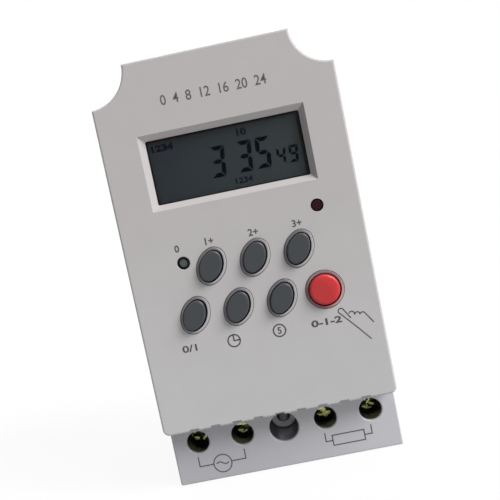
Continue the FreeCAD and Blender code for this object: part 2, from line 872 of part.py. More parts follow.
def terminal_screw(x):
    """Pan head screw with a slot and a cross, turning in the cage's nut wall."""
    at = (x, terminal_z)
    head = rod(at, screw_head_radius, head_front_y, head_back_y)
    head = head.makeFillet(screw_head_edge, edges_at(head, head_front_y))
    shank = rod(at, screw_radius, head_back_y, strap_front_y - screw_tip_gap)
    shank = shank.makeChamfer(screw_point, edges_at(shank, strap_front_y - screw_tip_gap))
    half = screw_slot / 2
    depth_y = head_front_y + screw_slot_depth
    slot = block(x - screw_head_radius, x + screw_head_radius, head_front_y - through, depth_y,
                 terminal_z - half, terminal_z + half)
    cross = block(x - half, x + half, head_front_y - through, depth_y,
                  terminal_z - screw_cross / 2, terminal_z + screw_cross / 2)
    return head.fuse(shank).cut([slot, cross])


def terminal_cage(x):
    """Rising clamp: a box open above and below, with a threaded front wall."""
    half_x = cage_width / 2
    half_z = cage_height / 2
    body = block(x - half_x, x + half_x, cage_front_y, cage_back_y, terminal_z - half_z, terminal_z + half_z)
    body = body.makeFillet(cage_edge, edges_along(body, Vector(0, 0, 1)))
    room = block(x - half_x + cage_side_wall, x + half_x - cage_side_wall, nut_back_y,
                 cage_back_y - cage_back_wall, terminal_z - half_z - through, terminal_z + half_z + through)
    nut = rod((x, terminal_z), screw_radius + screw_clearance, cage_front_y - through, nut_back_y + through)
    return body.cut([room, nut])


def terminal_straps():
    """Contact straps from the clamps up to the power board."""
    straps = []
    half = strap_width / 2
    low = terminal_z - cage_height / 2
    high = power_low_z + strap_rise
    for x in terminal_xs:
        leg = block(x - half, x + half, strap_front_y, strap_back_y, low, high)
        foot = block(x - half, x + half, strap_front_y, power_front_y, high - strap_thickness, high)
        straps.append(leg.fuse(foot).removeSplitter())
    return straps


def keyhole(y0, y1, grow):
    """Keyhole outline: round entry below, narrow slot above."""
    entry = rod((0, keyhole_rise), keyhole_entry_radius + grow, y0, y1)
    slot = block(-keyhole_slot_radius - grow, keyhole_slot_radius + grow, y0, y1,
                 keyhole_rise, keyhole_rise + keyhole_length)
    end = rod((0, keyhole_rise + keyhole_length), keyhole_slot_radius + grow, y0, y1)
    return entry.fuse([slot, end])


def keyhole_room_box(grow, y0, y1):
    """Room behind the keyhole for a screw head."""
    half = keyhole_entry_radius + grow
    return block(-half, half, y0, y1, keyhole_rise - half, keyhole_rise + keyhole_length + half)


def clip_channel():
    """T-shaped groove of the rail clip, open at the lower end of the case."""
    wide = clip_wide_half + clip_side_gap
    narrow = clip_narrow_half + clip_side_gap
    step_at = clip_step_y + clip_face_gap
    return [block(-wide, wide, channel_front_y, step_at, case_low_z - through, -rail_half + through),
            block(-narrow, narrow, step_at - through, through, case_low_z - through, -rail_half + through)]


def base_moulding():
    """Whole base: tray with the rail recess, clip groove, keyhole, screw sleeves and board bosses."""
    plate = outline_prism(base_inset, case_low_z, 0, -plate_thickness, 0)
    rim = outline_prism(base_inset, cover_low_z, 0, split_y, -plate_thickness)
    rim = rim.cut(outline_prism(base_inset + wall, cover_low_z - through, 0, split_y - through, 0))
    tongue_inset = wall + tongue_gap
    tongue = outline_prism(tongue_inset, cover_low_z + tongue_height, 0,
                           split_y - tongue_height, split_y + tongue_root)
    tongue = tongue.cut(outline_prism(tongue_inset + tongue_thickness, cover_low_z - through, 0,
                                      split_y - tongue_height - through, split_y + tongue_root + through))
    bulge = rail_half + rail_wall
    channel_half = clip_wide_half + clip_side_gap + rail_wall
    added = [
        rim,
        tongue,
        block(-base_half, base_half, pad_y, 0, case_low_z, cover_low_z),
        block(-base_half, base_half, rail_wall_y, 0, -bulge, bulge),
        block(-channel_half, channel_half, pad_y, 0, cover_low_z, -rail_half),
        keyhole_room_box(keyhole_wall, -keyhole_room - keyhole_wall, 0),
    ]
    sleeves = [(side * post_x, z) for side in (-1, 1) for z in post_zs]
    for at in sleeves:
        added.append(rod(at, sleeve_radius, split_y, 0))
    for at in power_boss_places():
        added.append(rod(at, power_boss_radius, power_back_y, 0))
    stop_x = cage_width / 2 + chamber_gap - cage_stop_side
    stop_z = cage_height / 2 + chamber_gap - cage_stop_side
    for x in terminal_xs:
        added.append(block(x - stop_x, x + stop_x, cage_back_y + cage_stop_gap, pad_y + through,
                           terminal_z - stop_z, terminal_z + stop_z))
    base = plate.fuse(added)

    far = case_width
    lip_y = clip_front_y
    cuts = [
        block(-far, far, -rail_recess_depth, lip_y, -rail_half, rail_half),
        block(-far, far, lip_y - through, through, -rail_half, rail_half - rail_lip),
        keyhole(-plate_thickness - through, through, 0),
        keyhole_room_box(0, -keyhole_room, -plate_thickness),
        rod((0, fixing_z), fixing_hole_radius, pad_y - through, through),
    ]
    cuts += clip_channel()
    for at in sleeves:
        cuts.append(rod(at, case_head_radius + case_head_clearance, -case_head_depth, through))
        cuts.append(rod(at, case_thread_radius + case_shank_clearance, split_y - through, -case_head_depth))
        cuts.append(rod(at, post_radius + post_gap, split_y - tongue_height - through, split_y))
    pilot = small_thread_radius + small_thread_clearance
    for at in power_boss_places():
        cuts.append(rod(at, pilot, power_back_y - through, power_back_y + small_thread_length))
    peg = block(-peg_half_width, peg_half_width, channel_front_y - through / 2, clip_back_y,
                peg_top_z - peg_height, peg_top_z)
    return base.cut(cuts).fuse(peg).removeSplitter()


def rear_base():
    """Base from the cover's lower edge upwards."""
    far = case_width
    return base_moulding().common(block(-far, far, split_y - far, through, cover_low_z, top_z + through))


def rear_base_foot():
    """Base behind the terminals, with the fixing screw's hole."""
    far = case_width
    return base_moulding().common(block(-far, far, split_y - far, through, case_low_z - through, cover_low_z))


def case_screws():
    """Four screws that join the base to the cover."""
    screws = []
    seat_y = -case_head_depth
    tip_y = split_y - case_thread_length + case_tip_gap
    for side in (-1, 1):
        for z in post_zs:
            at = (side * post_x, z)
            head = rod(at, case_head_radius, seat_y, seat_y + case_head_height)
            head = head.makeChamfer(case_head_edge, edges_at(head, seat_y + case_head_height))
            screws.append(head.fuse(rod(at, case_thread_radius, tip_y, seat_y)))
    return screws


def board_screws(places, seat_y, way):
    """Small screws whose heads stand on a board's face; way is the side that the heads are on."""
    screws = []
    top_y = seat_y + way * small_head_height
    tip_y = seat_y - way * (board_thickness + small_thread_length - small_tip_gap)
    for at in places:
        head = rod(at, small_head_radius, min(seat_y, top_y), max(seat_y, top_y))
        head = head.makeChamfer(small_head_edge, edges_at(head, top_y))
        screws.append(head.fuse(rod(at, small_thread_radius, min(seat_y, tip_y), max(seat_y, tip_y))))
    return screws


def rail_clip():
    """T-shaped slide with a bevelled hook, a driver slot and windows for the spring and fixing screw."""
    slide = block(-clip_wide_half, clip_wide_half, clip_front_y, clip_step_y, clip_low_z, -rail_half)
    spine = block(-clip_narrow_half, clip_narrow_half, clip_step_y, clip_back_y, clip_low_z, -rail_half)
    tip_z = clip_hook - rail_half
    profile = [Vector(-clip_wide_half, clip_front_y, -rail_half),
               Vector(-clip_wide_half, clip_front_y, tip_z),
               Vector(-clip_wide_half, clip_front_y + clip_nose_flat, tip_z),
               Vector(-clip_wide_half, clip_step_y, tip_z - clip_hook + clip_nose_flat),
               Vector(-clip_wide_half, clip_step_y, -rail_half)]
    hook = Part.Face(Part.makePolygon(profile + profile[:1])).extrude(Vector(2 * clip_wide_half, 0, 0))
    deep = clip_back_y + through
    shallow = clip_front_y - through
    screw_half = fixing_hole_radius + clip_window_gap
    screw_window = block(-screw_half, screw_half, shallow, deep, fixing_z - screw_half,
                         fixing_z + screw_half + clip_travel)
    spring_half = max(spring_radius + spring_wire_radius, peg_half_width) + spring_window_gap
    spring_window = block(-spring_half, spring_half, shallow, deep,
                          peg_top_z - peg_height - clip_window_gap, spring_top_z)
    slot_z = clip_low_z + clip_slot_low
    driver_slot = block(-clip_slot_width / 2, clip_slot_width / 2, shallow, deep,
                        slot_z, slot_z + clip_slot_height)
    return slide.fuse([spine, hook]).removeSplitter().cut([screw_window, spring_window, driver_slot])


def half_turn(start, start_way, end, end_way):
    """Two arcs that leave start along start_way and reach end along end_way."""
    chord = end - start
    ways = start_way + end_way
    lead = 2 - 2 * start_way.dot(end_way)
    across = chord.dot(ways)
    reach = (math.sqrt(across ** 2 + lead * chord.dot(chord)) - across) / lead
    first_corner = start + start_way * reach
    last_corner = end - end_way * reach
    joint = (first_corner + last_corner) * 0.5

    def arc(a, corner, b):
        middle = (a + b) * 0.5
        half = (b - a).Length / 2
        rise = (corner - middle).Length
        radius = half * (corner - a).Length / rise
        sagitta = radius - math.sqrt(radius ** 2 - half ** 2)
        return Part.Arc(a, middle + (corner - middle) * (sagitta / rise), b).toShape()

    return [arc(start, first_corner, joint), arc(joint, last_corner, end)]


def clip_spring():
    """Compression spring between the base's peg and the upper edge of the clip's window."""
    low = peg_top_z + spring_seat_gap + spring_wire_radius
    high = spring_top_z - spring_seat_gap - spring_wire_radius
    halves = 2 * spring_turns
    pitch = (high - low) / spring_turns
    centre_y = (clip_front_y + clip_back_y) / 2
    print("spring: least gap between turns %.2f mm" % (pitch - 2 * spring_wire_radius))
    points = []
    ways = []
    for index in range(halves + 1):
        angle = index * math.pi
        points.append(Vector(spring_radius * math.cos(angle), centre_y + spring_radius * math.sin(angle),
                             low + pitch * index / 2))
        way = Vector(-spring_radius * math.sin(angle), spring_radius * math.cos(angle), pitch / (2 * math.pi))
        ways.append(way.normalize())
    arcs = []
    for index in range(halves):
        arcs += half_turn(points[index], ways[index], points[index + 1], ways[index + 1])
    ring = Part.Wire([Part.Circle(points[0], ways[0], spring_wire_radius).toShape()])
    return Part.Wire(arcs).makePipeShell([ring], True, False)


def all_nodes():
    """Every node by name, as a list of solids."""
    nodes = {
        "front_cover": front_cover(),
        "rear_base": rear_base(),
        "rear_base_foot": rear_base_foot(),
        "terminal_housing": terminal_housing(),
        "display_window": display_window(),
        "lcd_glass": lcd_glass(),
        "lcd_frame": lcd_frame(),
        "rubber_strips": rubber_strips(),
        "control_board": control_board(),
        "power_board": power_board(),
        "manual_button": manual_button(),
        "reset_button": reset_button(),
        "tact_switches": [switch_body(at) for at in switch_places.values()],
        "status_led": status_led(),
        "microcontroller": microcontroller(),
        "clock_crystal": clock_crystal(),
        "backup_battery": backup_battery(),
        "relay": relay(),
        "dropper_capacitor": dropper_capacitor(),
        "smoothing_capacitors": smoothing_capacitors(),
        "varistor": varistor(),
        "rectifier_diodes": rectifier_diodes(),
        "resistors": resistors(),
        "link_connectors": link_connectors(),
        "link_ribbon": link_ribbon(),
        "terminal_straps": terminal_straps(),
        "rail_clip": rail_clip(),
        "clip_spring": clip_spring(),
        "case_screws": case_screws(),
        "control_board_screws": board_screws(board_post_places(), control_back_y, 1),
        "power_board_screws": board_screws(power_boss_places(), power_front_y, -1),
    }
    for name, at in oval_keys.items():
        nodes[name + "_button"] = oval_button(at)
    for name, at in switch_places.items():
        nodes[name + "_plunger"] = plunger(at)
    for index, x in enumerate(terminal_xs, start=1):
        nodes["terminal_screw_%d" % index] = terminal_screw(x)
        nodes["terminal_cage_%d" % index] = terminal_cage(x)
    return nodes


def save(name, shape):
    """Write one node as STEP."""
    solids = shape if isinstance(shape, list) else [shape]
    solids = [solid for item in solids for solid in item.Solids]
    for solid in solids:
        if not solid.isValid():
            print("not valid:", name)
    result = solids[0] if len(solids) == 1 else Part.makeCompound(solids)
    result.exportStep("parts/%s.step" % name)
    print("%-22s %d solids, volume %.1f" % (name, len(solids), result.Volume))


os.makedirs("parts", exist_ok=True)
for node_name, node_shape in all_nodes().items():
    save(node_name, node_shape)
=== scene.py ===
"""Dresses the digital timer: moulded case, display, keys, printed marks, metals, boards and the studio."""

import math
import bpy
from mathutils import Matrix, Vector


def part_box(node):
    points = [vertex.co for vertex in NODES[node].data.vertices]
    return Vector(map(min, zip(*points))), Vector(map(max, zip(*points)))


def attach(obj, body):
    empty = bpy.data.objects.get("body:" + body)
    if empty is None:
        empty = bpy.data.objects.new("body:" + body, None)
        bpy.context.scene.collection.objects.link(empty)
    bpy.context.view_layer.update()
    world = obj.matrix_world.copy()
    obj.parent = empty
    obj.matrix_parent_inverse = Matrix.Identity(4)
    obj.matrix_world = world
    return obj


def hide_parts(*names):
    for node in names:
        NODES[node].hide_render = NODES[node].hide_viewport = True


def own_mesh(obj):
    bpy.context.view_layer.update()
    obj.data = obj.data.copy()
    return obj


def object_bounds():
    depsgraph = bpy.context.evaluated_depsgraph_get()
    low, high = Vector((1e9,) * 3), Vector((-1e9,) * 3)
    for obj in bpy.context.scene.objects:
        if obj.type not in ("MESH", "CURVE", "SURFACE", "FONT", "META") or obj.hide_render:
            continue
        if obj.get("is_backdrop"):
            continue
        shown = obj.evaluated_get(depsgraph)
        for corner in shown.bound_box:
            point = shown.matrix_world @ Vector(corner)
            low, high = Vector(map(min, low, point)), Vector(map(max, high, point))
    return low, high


bl_info = {
    "name": "Digital Timer Dresser",
    "version": (1, 0, 0),
    "blender": (4, 5, 0),
    "location": "View3D > Sidebar > Timer",
    "description": "Finishes and printed marks for a wall or rail mounted digital timer",
    "category": "Object",
}

from functools import cached_property

import bpy
import numpy as np
from bpy.props import FloatProperty, FloatVectorProperty, IntProperty, PointerProperty, StringProperty
from mathutils import Vector

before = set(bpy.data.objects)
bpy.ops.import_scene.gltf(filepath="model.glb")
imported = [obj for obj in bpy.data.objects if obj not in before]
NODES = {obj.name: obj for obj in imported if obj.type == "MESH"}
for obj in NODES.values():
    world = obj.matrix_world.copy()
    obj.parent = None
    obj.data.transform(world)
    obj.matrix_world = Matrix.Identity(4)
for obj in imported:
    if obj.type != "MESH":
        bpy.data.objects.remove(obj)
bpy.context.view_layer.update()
MM = 0.001


def node_box(name):
    """Lowest and highest corner of a CAD node, in millimetres."""
    return [[part / MM for part in corner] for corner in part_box(name)]


def front_of(name):
    """Front of a node, its lowest y."""
    return node_box(name)[0][1]


def centre_of(name):
    """Middle of a node, x and z."""
    low, high = node_box(name)
    return (low[0] + high[0]) / 2, (low[2] + high[2]) / 2


def inside_pane(lap):
    """Lower left and upper right place at a distance inside the window pane's edge."""
    low, high = node_box("display_window")
    return (low[0] + lap, low[2] + lap), (high[0] - lap, high[2] - lap)


# These sizes and places are in millimetres, and a place is its x and z.
PANEL_Y = -55.0
STEP_Y = front_of("terminal_housing")

OVAL_KEYS = ("day", "hour", "minute", "cancel", "clock", "program")
CAP_SHIFT = (-0.1, 0.17)  # from the middle of a hole to the middle of its cap
KEY_OVAL = (4.68, 3.17, 2.3)  # half axes and end radius of an oval cap
KEY_LEAN = 30
MANUAL_RADIUS = 4.6
SEAM_GAP = 1.12  # from the edge of a cap to the line round its collar
LIT_SIDE = (0.87, -0.5)  # direction from the middle of a key to the side of its collar that gets painted light

FIXING_AT = (0.0, -52.7)
WELL_FLOOR_Y = -34.7
WELL_HALF = 5.2  # half widths of the middle well and of the row of holes
HOLES_HALF = 32.6
HOLES_LOW_Z = -58.2
PASSAGE_BACK_Y = -3.0

# A zone ends between two squares of the distance from its middle.
KEY_ZONE = (40, 44)
PIN_ZONE = (6, 7)
LEDGE_ZONE = (13.0, 19.5)
PASSAGE_ZONE = (6.5, 9.0)

BEVELS_HALF = 33  # half width, and lower and upper end, of the zone of the window's bevels
BEVELS_LOW_Z = 18
BEVELS_HIGH_Z = 48
RIGHT_BEVEL_X = 10
OPENING_LAP = 1.6  # how far the opening's edge and the display's lie inside the pane's
FACE_LAP = 1.55
FACE_GRID = (24, 10)
DIGITS_LOW_Z = 27.55
LARGE_DIGITS_X = (-5.6, 2.5, 8.1)  # left ends of the digits
SMALL_DIGITS_X = (14.2, 17.9)
FAINT_NUMBERS = (("1234", (-18.3, 39.5), 2.1, 6.6, 0.05),  # text, middle, height, width and boldness
                 ("10", (5.6, 39.4), 2.2, 2.8, 0.03),
                 ("1234", (3.7, 25.4), 1.8, 5.2, 0.03))
SEGMENT_GAP = 0.16  # gap between two segments as a share of their width
SEGMENTS = {"0": "abcdef", "1": "bc", "2": "abged", "3": "abgcd", "4": "fgbc",
            "5": "afgcd", "6": "afgedc", "7": "abc", "8": "abcdefg", "9": "abfgcd"}

BOLD = 0.024  # how far the outlines of the key numbers are moved out
TITLE_AT = (0.15, 52.75)
UPPER_NUMBERS_X = (-10.1, 3.15, 16.3)
UPPER_NUMBERS_Z = 9.85
RESET_NUMBER_AT = (-20.0, 9.4)
CANCEL_NUMBER_AT = (-22.5, -20.7)
CLOCK_SIGN_AT = (-8.95, -20.95)
PROGRAM_SIGN_AT = (4.95, -20.6)
MANUAL_NUMBER_AT = (19.2, -20.75)
LEADS_TOP_Z = -57.0
SUPPLY_AT = (-21.2, -60.35)
SUPPLY_RADIUS = 2.85
LOAD_LOW = (14.2, -61.45)
LOAD_HIGH = (24.25, -58.2)

COIL_STEPS = 40  # rings of corners for each turn of the spring, and corners in a ring
COIL_SIDES = 14
CLOSED_PITCH = 1.06  # rise of a closed turn in wires
SPRING_SEAT_GAP = 0.1
CLIP_TRAVEL = 3.0
FLOOR_REACH = 4000
FLOOR_DROP = 0.2
BRIGHT_WAY = (0.95, -0.13, 0.28)
CAMERA_AT = (10.967, -274.511, 24.688)
CAMERA_TURN = (84.7119, 11.6968, 1.4689)
CAMERA_LENS = 53.76


def linear(*levels):
    """Linear colour of 8-bit display values, by the display's own curve."""
    shares = (level / 255 for level in levels)
    return tuple(share / 12.92 if share <= 0.04045 else ((share + 0.055) / 1.055) ** 2.4 for share in shares)


def colour(name, description, *levels):
    """Colour property with its default given in display values."""
    return FloatVectorProperty(name=name, description=description, subtype="COLOR", size=3,
                               min=0, max=1, default=linear(*levels))


def length(name, description, millimetres):
    """Length property with its default given in millimetres."""
    return FloatProperty(name=name, description=description, unit="LENGTH", min=0,
                         default=millimetres * MM)


def number(name, description, default, low=0.0, high=100.0):
    """Plain number property."""
    return FloatProperty(name=name, description=description, min=low, max=high, default=default)


class TimerColours(bpy.types.PropertyGroup):
    """Colours of the mouldings, keys, display, prints and metals."""

    panel: colour("Panel, top", "Upper end of the front cover", 181, 177, 177)
    panel_low: colour("Panel, foot", "Lower end of the front cover", 187, 186, 187)
    base: colour("Base", "Terminal housing and rear base", 178, 177, 182)
    # Painted light: the right end of the housing is lighter, as if lit from the right.
    base_painted_light: colour("Base, right", "Right end of the terminal housing", 190, 189, 193)
    # Painted shade: the dark colour inside the deep screw holes.
    hole: colour("Screw holes", "Moulding inside the deep holes", 34, 35, 38)
    # Painted shade on the window's right bevel; painted light on its upper and lower bevels.
    bevel_painted_shade: colour("Window bevel, right", "Right bevel of the window", 156, 152, 153)
    bevel_painted_light: colour("Window bevels, level", "Upper and lower bevels of the window", 188, 184, 183)
    # Painted light and shade: each collar is lighter at its lower right and darker at its upper left.
    collar: colour("Collars, lit side", "Rings round the keys, lower right", 178, 174, 177)
    collar_painted_shade: colour("Collars, dark side", "Rings round the keys, upper left", 106, 104, 109)
    # The red key's collar: painted light and shade, with a painted red reflection of its cap.
    red_collar: colour("Red key's collar, lit", "Ring that catches red light from its cap", 184, 152, 154)
    red_collar_painted_shade: colour("Red key's collar, dark", "The same ring in its own shade", 134, 95, 98)
    # Painted shade: near-black key hole walls and cap sides, so that the gaps read dark.
    gap: colour("Key gaps", "Walls of the key holes and of the caps", 9, 9, 11)
    seam: colour("Collar seams", "Fine line at the foot of a key's collar", 72, 69, 72)
    # Painted light: the collar line is paler at a collar's lower right.
    seam_painted_light: colour("Collar seams, lit", "The same line at the lower right", 100, 97, 100)
    grey_cap: colour("Grey caps", "Oval key caps", 47, 51, 54)
    pin: colour("Reset pin", "Small round pin", 64, 67, 68)
    # Painted highlight on the caps' rounded edges.
    cap_edge_highlight: colour("Cap edges", "Rounded edges of the oval caps", 70, 74, 77)
    red_cap: colour("Red cap", "Middle of the round cap", 180, 35, 37)
    # Painted light: the red cap grows brighter towards its rim and upper right.
    red_rim_painted_light: colour("Red cap, rim", "Rim of the round cap", 204, 42, 46)
    # Painted shade on the red cap's side, and a painted red reflection on the hole walls round it.
    red_gap_shade: colour("Red cap, side", "Side of the round cap, in its gap", 136, 14, 26)
    lamp: colour("Lamp", "Indicator lens", 36, 3, 10)
    display_left: colour("Display, left", "Left end of the resting display", 39, 44, 50)
    display_right: colour("Display, right", "Right end of the resting display", 53, 60, 61)
    digits: colour("Digits", "Segments that are switched on", 2, 3, 12)
    faint_digits: colour("Faint digits", "Small numbers of the display", 12, 14, 28)
    ink: colour("Ink", "Printed numbers and line marks", 72, 70, 72)
    title_ink: colour("Title ink", "Numbers above the window", 88, 86, 88)
    # The screws' yellow, given to their painted glints.
    screw: colour("Terminal screws", "Yellow passivated steel", 176, 178, 118)
    brass: colour("Straps", "Brass strips to the power board", 190, 158, 96)
    steel: colour("Steel", "Zinc plated screws and terminal cages", 190, 192, 194)


class TimerSizes(bpy.types.PropertyGroup):
    """Sizes of the printed marks, of the display's digits and of the spring's wire."""

    lift: length("Print thickness", "How far ink stands off the plastic", 0.02)
    title_height: length("Title numbers", "Height of the numbers above the window", 3.0)
    title_width: length("Title width", "Length of the row above the window", 31.4)
    label_height: length("Key numbers", "Height of the numbers beside the keys", 2.15)
    line: length("Line width", "Width of the line marks", 0.36)
    ring_line: length("Ring line width", "Width of the lines of the two round marks", 0.44)
    seam: length("Seam width", "Width of the line round a collar", 0.34)
    ring_radius: length("Ring radius", "Middle of the ring round a key mark", 1.83)
    digit_height: length("Digit height", "Height of the large digits", 9.2)
    digit_width: length("Digit width", "Width of the large digits", 4.45)
    digit_bar: length("Segment width", "Width of a segment of the large digits", 1.3)
    small_share: number("Small digits", "Small digits as a share of the large ones", 0.55, 0.1, 1)
    slant: number("Slant", "Lean of the digits for each unit of height", 0.1, 0, 0.5)
    spring_wire: length("Spring wire", "Diameter of the clip spring's wire", 0.6)
    spring_turns: number("Spring turns", "Turns of the clip spring with its closed ends", 7.5, 3, 12)


class TimerMarks(bpy.types.PropertyGroup):
    """Plain numbers that stand in the places of lettering."""

    title: StringProperty(name="Row above the window", description="Plain numbers",
                          default="0  4  8  12  16  20  24")
    steps: StringProperty(name="Upper row", description="Numbers above the upper keys", default="1+,2+,3+")
    large: StringProperty(name="Large digits", description="Hours and minutes shown", default="335")
    small: StringProperty(name="Small digits", description="Seconds shown", default="49")


class TimerLight(bpy.types.PropertyGroup):
    """Level and slope of the soft studio light."""

    level: number("Level", "Light on a surface that faces the camera", 0.31)
    slope: number("Slope", "How much more comes from the upper right", 0.58)
    key: number("Key lamp", "Light of the lamp at the upper right", 3.3)
    back: number("Back lamp", "Light of the lamp behind the timer", 1.5)
    floor_share: number("Floor", "Share of light that the floor returns", 0.45, 0, 1)
    floor_grid: IntProperty(name="Floor grid", description="Divisions of the floor", min=1, default=8)


class Value:
    """One number of a node tree; arithmetic on it adds Math nodes."""

    def __init__(self, owner, socket):
        self.owner = owner
        self.socket = socket

    def _math(self, operation, *terms):
        node = self.owner.add("ShaderNodeMath", dict(enumerate(terms)), operation=operation)
        return Value(self.owner, node.outputs[0])

    def __add__(self, other):
        return self._math("ADD", self, other)

    __radd__ = __add__

    def __sub__(self, other):
        return self._math("SUBTRACT", self, other)

    def __rsub__(self, other):
        return self._math("SUBTRACT", other, self)

    def __mul__(self, other):
        return self._math("MULTIPLY", self, other)

    __rmul__ = __mul__

    def size(self):
        """Value without its sign."""
        return self._math("ABSOLUTE", self)

    def wave(self):
        """Sine of the value."""
        return self._math("SINE", self)

    def most(self, other):
        """The larger of two values."""
        return self._math("MAXIMUM", self, other)

    def fade(self, low, high):
        """0 at low and 1 at high, smoothly."""
        node = self.owner.add("ShaderNodeMapRange", {"Value": self, "From Min": low, "From Max": high},
                              interpolation_type="SMOOTHSTEP", clamp=True)
        return Value(self.owner, node.outputs[0])


class Nodes:
    """A node tree, and the one method that adds a node to it."""

    def __init__(self, tree):
        self.tree = tree
        tree.nodes.clear()

    def add(self, kind, sockets=None, **settings):
        """Node of a kind, with its settings made first and then its sockets set or linked."""
        node = self.tree.nodes.new(kind)
        for key, value in settings.items():
            setattr(node, key, value)
        for key, value in (sockets or {}).items():
            self.put(node.inputs[key], value)
        return node

    def put(self, socket, value):
        """Link or set one socket."""
        if isinstance(value, Value):
            value = value.socket
        if isinstance(value, bpy.types.NodeSocket):
            self.tree.links.new(value, socket)
        elif socket.type == "RGBA":
            socket.default_value = (*value, 1)
        else:
            socket.default_value = value

    def parts_of(self, vector):
        """The three parts of a vector socket, as values."""
        parts = self.add("ShaderNodeSeparateXYZ", {0: vector})
        return [Value(self, parts.outputs[axis]) for axis in range(3)]

    def sees_white(self):
        """1 on rays from the camera, a mirror or through glass."""
        ray = self.add("ShaderNodeLightPath").outputs
        camera, glossy, through = (Value(self, ray["Is %s Ray" % name])
                                   for name in ("Camera", "Glossy", "Transmission"))
        return camera.most(glossy).most(through)

    def blend(self, factor, first, second):
        """Shader node between two shader nodes."""
        return self.add("ShaderNodeMixShader", {0: factor, 1: first.outputs[0], 2: second.outputs[0]})


class Finish(Nodes):
    """A node material built round one Principled shader."""

    def __init__(self, name):
        self.material = bpy.data.materials.new(name)
        self.material.use_nodes = True
        super().__init__(self.material.node_tree)
        self.shader = self.add("ShaderNodeBsdfPrincipled")
        self.output = self.add("ShaderNodeOutputMaterial", {"Surface": self.shader.outputs[0]})

    @cached_property
    def place(self):
        """Object coordinates in millimetres, as a vector socket."""
        here = self.add("ShaderNodeTexCoord").outputs["Object"]
        return self.add("ShaderNodeVectorMath", {0: here, "Scale": 1 / MM}, operation="SCALE").outputs[0]

    @cached_property
    def along(self):
        """The three object coordinates in millimetres, as values."""
        return self.parts_of(self.place)

    @cached_property
    def facing(self):
        """The three parts of the surface's own normal, as values."""
        return self.parts_of(self.add("ShaderNodeNewGeometry").outputs["True Normal"])

    def around(self, point):
        """Millimetres to the right of a place and above it, and the square of the distance from it."""
        right, up = self.along[0] - point[0], self.along[2] - point[1]
        return right, up, right * right + up * up

    def noise(self, feature, detail=2.0, stretch=None):
        """Noise from 0 to 1 with features of a size in millimetres, stretched along axes."""
        where = self.place
        if stretch:
            where = self.add("ShaderNodeVectorMath", {0: where, 1: stretch}, operation="MULTIPLY").outputs[0]
        node = self.add("ShaderNodeTexNoise", {"Vector": where, "Scale": 1 / feature, "Detail": detail})
        return Value(self, node.outputs[0])

    def shade(self, factor, first, second):
        """Colour between two colours."""
        return self.add("ShaderNodeMix", {0: factor, 6: first, 7: second}, data_type="RGBA").outputs[2]

    def paint(self, factor, first, second, **values):
        """Base colour between two colours, and other sockets set with it."""
        return self.set(Base_Color=self.shade(factor, first, second), **values)

    def tint(self, base, factor, spread):
        """Base colour made darker and lighter by a share as a value goes from 0 to 1."""
        darker = [level * (1 - spread) for level in base]
        lighter = [min(level * (1 + spread), 1) for level in base]
        return self.shade(factor, darker, lighter)

    def relief(self, height, depth):
        """Bump of a depth in millimetres."""
        node = self.add("ShaderNodeBump", {"Strength": 1.0, "Distance": depth * MM, "Height": height})
        return self.set(Normal=node.outputs[0])

    def set(self, **values):
        """Set sockets of the shader; an underscore in a name stands for a space."""
        for key, value in values.items():
            self.put(self.shader.inputs[key.replace("_", " ")], value)
        return self


def moulded_plastic(name, base, roughness, grain, depth):
    """Moulded plastic: fine spark-eroded grain, a faint cloudiness and slightly uneven gloss."""
    finish = Finish(name)
    cloud = finish.noise(9.0, 3.0)
    speck = finish.noise(0.35, 1.0)
    finish.set(Base_Color=finish.tint(base, 0.75 * cloud + 0.25 * speck, 0.045),
               Roughness=roughness - 0.05 + 0.1 * cloud, IOR=1.5)
    return finish.relief(finish.noise(grain), depth)


def base_moulding(name, colours):
    """Moulded plastic of the terminal housing and of the rear base."""
    return moulded_plastic(name, colours.base, 0.5, 0.4, 0.014)


def machined_metal(name, base, roughness):
    """Plated metal: fine drawn lines and dull patches."""
    finish = Finish(name)
    patch = finish.noise(1.6, 3.0)
    lines = finish.noise(0.12, 2.0, (1, 0.08, 0.08))
    finish.set(Base_Color=finish.tint(base, patch, 0.16), Metallic=1.0,
               Roughness=roughness - 0.08 + 0.16 * patch)
    return finish.relief(0.6 * lines + 0.4 * patch, 0.012)


def ribbed(name, rate, dark, light, roughness, depth):
    """Ribs side by side along X, at a rate in radians for each millimetre."""
    finish = Finish(name)
    rib = (finish.along[0] * rate).wave() * 0.5 + 0.5
    return finish.paint(rib, dark, light, Roughness=roughness).relief(rib, depth)


def clouded(name, shade, feature, spread, roughness, change, **values):
    """Smooth surface whose colour and gloss change a little over a size."""
    finish = Finish(name)
    cloud = finish.noise(feature)
    return finish.set(Base_Color=finish.tint(shade, cloud, spread), Roughness=roughness + change * cloud,
                      **values)


def printed_ink(name, shade):
    """Pad-printed ink: slightly uneven cover and a dull gloss."""
    finish = clouded(name, shade, 0.4, 0.12, 0.5, 0.15)
    return finish.relief(finish.noise(0.4), 0.004)


def hole_of(key):
    """Middle of a key's hole."""
    x, z = centre_of(key + "_button")
    return x - CAP_SHIFT[0], z - CAP_SHIFT[1]


def round_keys(finish):
    """Where a point of the panel lies round its key, as three values.

    The first is how far it lies towards the side of its key that is given painted light, in millimetres: the
    lower right, and on the red key's ring the upper left a little too. The second is the distance from the
    key's middle times the cosine between that direction and the surface's normal: it is negative on a
    hole's wall, nothing on the flat and positive on a collar's outer side. The third is 1 round the red key.
    """
    facing_x, _, facing_z = finish.facing
    lit = outward = near = 0
    for key in (*OVAL_KEYS, "manual"):
        right, up, square = finish.around(hole_of(key))
        near = 1 - square.fade(*KEY_ZONE)
        # Side of each collar that is given painted light; the red key's differs.
        towards = LIT_SIDE[0] * right + LIT_SIDE[1] * up
        if key == "manual":
            towards = 0.45 * right - 0.15 * right * up - 0.8
        lit += near * towards
        outward += near * (right * facing_x + up * facing_z)
    return lit, outward, near


def dress(finish, *names):
    """Give a finish to every material slot of CAD nodes."""
    for name in names:
        node = NODES[name]
        if not node.material_slots:
            node.data.materials.append(finish.material)
        for place in node.material_slots:
            place.material = finish.material


